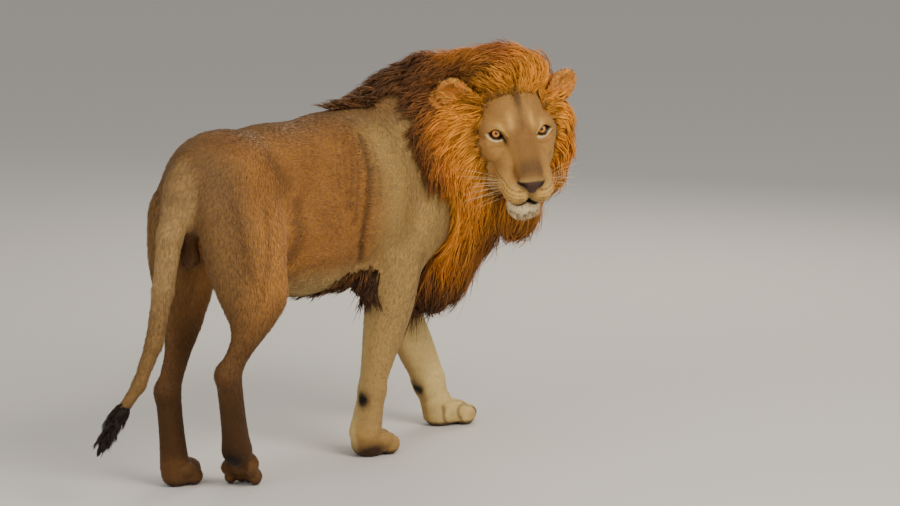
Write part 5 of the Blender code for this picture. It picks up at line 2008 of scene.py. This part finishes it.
@dataclass(frozen=True)
class Whiskers:
    """Stiff pale whiskers, fanned out and back from the pads in four rows."""

    rows: int = 4
    to_a_row: int = 4
    length: tuple[float, float] = (0.08, 0.14)
    width: float = 0.0005
    stations: int = 9

    def build(self, ground: Ground, material: Material, seed: int) -> None:
        """Lay the whiskers as curves p + d l s + g l s^2, s running from 0 at the root to 1."""
        rng = np.random.default_rng(seed)
        side, row, step = pairs((-1.0, 1.0), np.arange(self.rows), np.arange(self.to_a_row))
        local = np.stack([0.135 - 0.017 * step, side * (0.058 + 0.007 * step),
                          -0.094 - WHISKER_ROW * row - 0.002 * step], -1)
        roots = ground.nearest(in_head(0.0, 0.0, 0.0) + local @ HEAD)
        normal = roots.normals
        fan = np.stack([0.10 - 0.22 * step, side, 0.25 - 0.16 * row], -1)
        fan = fan + rng.normal(0.0, 0.07, (len(row), 3))
        along = unit(unit(fan @ HEAD) + 0.25 * normal)
        length = rng.uniform(*self.length, len(row))[:, None, None]
        share = np.linspace(0.0, 1.0, self.stations)[None, :, None]
        droop = (-0.22 * HEAD[0] + toward(0, 0, -0.28)) * (0.7 + 0.6 * rng.random((len(row), 1)))
        paths = roots.points[:, None] + length * (share * along[:, None] + share ** 2 * droop[:, None])
        paths[:, 0] -= normal * 0.002
        outermost = np.abs(paths[:, :, 0]).max(axis=1) - np.abs(paths[:, 0, 0])
        room = CAD_BOX[1][0] + WHISKER_ROOM - np.abs(paths[:, 0, 0])
        kept = np.minimum(1.0, room / np.maximum(outermost, 1e-9))[:, None, None]
        paths = paths[:, :1] + (paths - paths[:, :1]) * kept
        ups = np.repeat(unit(HEAD[2] + 0.3 * normal)[:, None], self.stations, axis=1)
        tones = everywhere(Tone.WHITE.rgb)(row)
        hair = strand_mesh(paths, ups, np.full(len(row), self.width), tones, roots.uv, 1.05)
        hair_object("whiskers", hair, material)


# ---- the unwrapped skin

def leg_labels(points: Array) -> Array:
    """A number for each part of the body that is unwrapped by itself."""
    forward, left, up = body_coordinates(points).T
    head = head_distance(points, -0.06, 0.0, -0.04) < 0.26
    hind = (forward < -0.15) & (up < 0.66)
    fore = (forward > -0.05) & (up < 0.58)
    sided = np.where(left > 0.0, 1, 0)
    return np.select([head, on_tail(forward, up), hind, fore], [1, 2, 3 + sided, 5 + sided], 0)


def unwrapped(shape: SkinShape) -> Array:
    """A UV place for each corner of the skin: each part laid out along six directions.

    Every triangle goes to the sheet of its part of the body and of the axis that its smoothed
    normal is nearest to, and is laid flat there. The sheets stand beside each other on shelves.

    Args:
        shape: The skin.

    Returns:
        UV places, three to a triangle, from 0 to 1.
    """
    corners = shape.points[shape.triangles]
    facing = shape.normals[shape.triangles].mean(axis=1)
    axis = np.argmax(np.abs(facing), axis=1)
    toward_plus = facing[np.arange(len(axis)), axis] > 0
    sheet = leg_labels(corners.mean(axis=1)) * 6 + axis * 2 + toward_plus
    flat = np.zeros((len(corners), 3, 2))
    for k, pair in enumerate(((1, 2), (0, 2), (0, 1))):
        flat[axis == k] = corners[axis == k][:, :, pair]
    sizes = {}
    for number in np.unique(sheet):
        low = flat[sheet == number].min(axis=(0, 1))
        flat[sheet == number] -= low
        sizes[number] = flat[sheet == number].max(axis=(0, 1))
    margin, shelf, x, y, tall = 0.02, 4.2, 0.0, 0.0, 0.0
    for number in sorted(sizes, key=lambda key: -sizes[key][1]):
        wide, high = sizes[number] + margin
        if x + wide > shelf:
            x, y, tall = 0.0, y + tall, 0.0
        flat[sheet == number] += (x, y)
        x, tall = x + wide, max(tall, high)
    return flat / max(shelf, y + tall)


def build_skin(anatomy: Anatomy, markings: Markings, group: NodeTree) -> Ground:
    """The one skin over the whole animal, which stands for every node of flesh."""
    shape = SkinBuilder(anatomy).build()
    material = HairFinish("short_fur_skin", group).material()
    made = new_object("skin", shape.points, shape.triangles, material)
    paint(made, "tone", markings.at(shape.points, shape.normals))
    uv = unwrapped(shape)
    write_uv(made, "OFBake", uv.reshape(-1, 2))
    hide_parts(*(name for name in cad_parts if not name.startswith("eye")))
    tree = BVHTree.FromPolygons(shape.points.tolist(), shape.triangles.tolist())
    return Ground(shape, uv, tree)


def build_mane(ground: Ground, markings: Markings, group: NodeTree) -> None:
    """The mane in eight pieces, with the fringes, the chin's tuft and the tail's."""
    material = HairFinish("mane_hair", group, roughness=0.58, specular=0.15, sheen=0.04, grain=160.0,
                          stretch=(1.0, 1.0, 0.3), relief=0.0008).material()

    def lay(number: int, name: str, where: Field, flow: Field, length: Field, clumps: int,
            **looks: object) -> None:
        """Build one piece, number setting its random draws."""
        Locks(name, where, flow, length, clumps, **looks).build(ground, material, SEED + number)

    def piece(inside: Callable[[Array, Array], Array]) -> Field:
        """Density of one piece of mane, from a test on head and body coordinates."""
        return lambda points: markings.mane_share(points) * inside(
            head_coordinates(points), body_coordinates(points))

    def ruff(head: Array) -> Array:
        """True near the face."""
        return np.linalg.norm(head - FACE_MIDDLE, axis=1) < 0.25

    def neck(head: Array, body: Array) -> Array:
        """True on the sides of the neck."""
        return ~ruff(head) & (body[:, 2] > 0.72) & (body[:, 0] > 0.26)

    for number, (name, inside, clumps) in enumerate((
        ("mane_ruff_right", lambda h, b: ruff(h) & (h[:, 1] < 0) & (h[:, 2] < 0.07), 560),
        ("mane_ruff_left", lambda h, b: ruff(h) & (h[:, 1] >= 0) & (h[:, 2] < 0.07), 520),
        ("mane_crown", lambda h, b: ruff(h) & (h[:, 2] >= 0.07), 520),
        ("mane_neck_right", lambda h, b: neck(h, b) & (b[:, 1] < -0.09), 580),
        ("mane_neck_left", lambda h, b: neck(h, b) & (b[:, 1] >= -0.09), 540),
        ("mane_chest", lambda h, b: ~ruff(h) & (b[:, 2] <= 0.72) & (b[:, 0] > 0.28), 500),
        ("mane_crest", lambda h, b: (b[:, 2] > 0.90) & (b[:, 0] <= 0.26), 130),
        ("elbow_fringes", lambda h, b: (b[:, 2] < 0.68) & (b[:, 0] <= 0.28), 150),
    )):
        lay(number, name, piece(inside), mane_flow, mane_length, clumps)

    def chin(points: Array) -> Array:
        """1 under the chin."""
        middle = np.array((0.116, 0.0, -0.214))
        return ramp(near(head_coordinates(points), middle, (0.046, 0.054, 0.034), np.eye(3)), 0.20, 0.5)

    def chin_tone(points: Array) -> Array:
        """White under the lip, cream further back."""
        rear = ramp(-head_coordinates(points)[:, 0], -0.09, -0.03)
        return layered(everywhere(Tone.WHITE.rgb)(points), (Tone.CREAM, rear))

    lay(20, "tail_tuft_hair", lambda p: 1.0 * (np.linalg.norm(p - TAIL_LINE[-2], axis=1) < 0.060),
        everywhere(unit(TAIL_LINE[-1] - TAIL_LINE[-3])), everywhere(0.046), 110, width=0.0018,
        height=(0.002, 0.012), spread=0.007, gravity=0.1, slot="tail_tuft",
        tone=everywhere(Tone.BLACK.rgb * 1.3))
    lay(25, "belly_fringe", belly_edge, everywhere(unit(toward(-0.35, 0, -1))), everywhere(0.048), 130,
        stations=5, width=0.0016, height=(0.004, 0.016), spread=0.010, wave=0.002,
        tone=everywhere(Tone.BROWN.rgb * 0.6))
    lay(21, "chin_tuft", chin, everywhere(unit(HEAD[0] * 0.05 - HEAD[2] * 0.5 + DOWN)), everywhere(0.052),
        140, stations=5, width=0.0012, height=(0.003, 0.012), spread=0.008, wave=0.001, gravity=0.3,
        tone=chin_tone)
    lay(24, "face_fringe", markings.fringe_share, fringe_flow, everywhere(0.050), 420, stations=5,
        width=0.0013, height=(0.003, 0.012), spread=0.009, wave=0.001, gravity=0.1, tone=markings.fringe_tone)
    lay(22, "ear_hair", lambda p: ear_share(p, 0.050, 0.056), ear_flow, everywhere(0.032), 150, strands=5,
        stations=5, width=0.0011, height=(0.001, 0.005), spread=0.006, wave=0.0008, gravity=0.0,
        tone=everywhere(0.5 * (Tone.GOLD.rgb + Tone.CREAM.rgb)))
    Whiskers().build(ground, material, SEED + 23)


def main() -> None:
    """Build the animal piece by piece, then the studio."""
    logging.basicConfig(level=logging.INFO, format="%(relativeCreated)6d %(message)s")
    anatomy = Anatomy()
    markings = Markings(anatomy)
    group = hair_grain_group()
    ground = build_skin(anatomy, markings, group)
    amber = eye_material()
    studio = Studio()
    for side in (-1, 1):
        Eye(side).build(amber, -studio.view())
    coat_material = HairFinish("short_coat_hair", group, grain=420.0, amount=0.35, relief=0.0004).material()
    coat = ShortCoat(ground, markings, coat_material)
    for number, (part, count) in enumerate(TUFTS.items()):
        coat.build(part, count, COAT_SEED + number)
    build_mane(ground, markings, group)
    studio.build()


COAT_STREAMS = coat_streams()

if __name__ == "__main__":
    main()
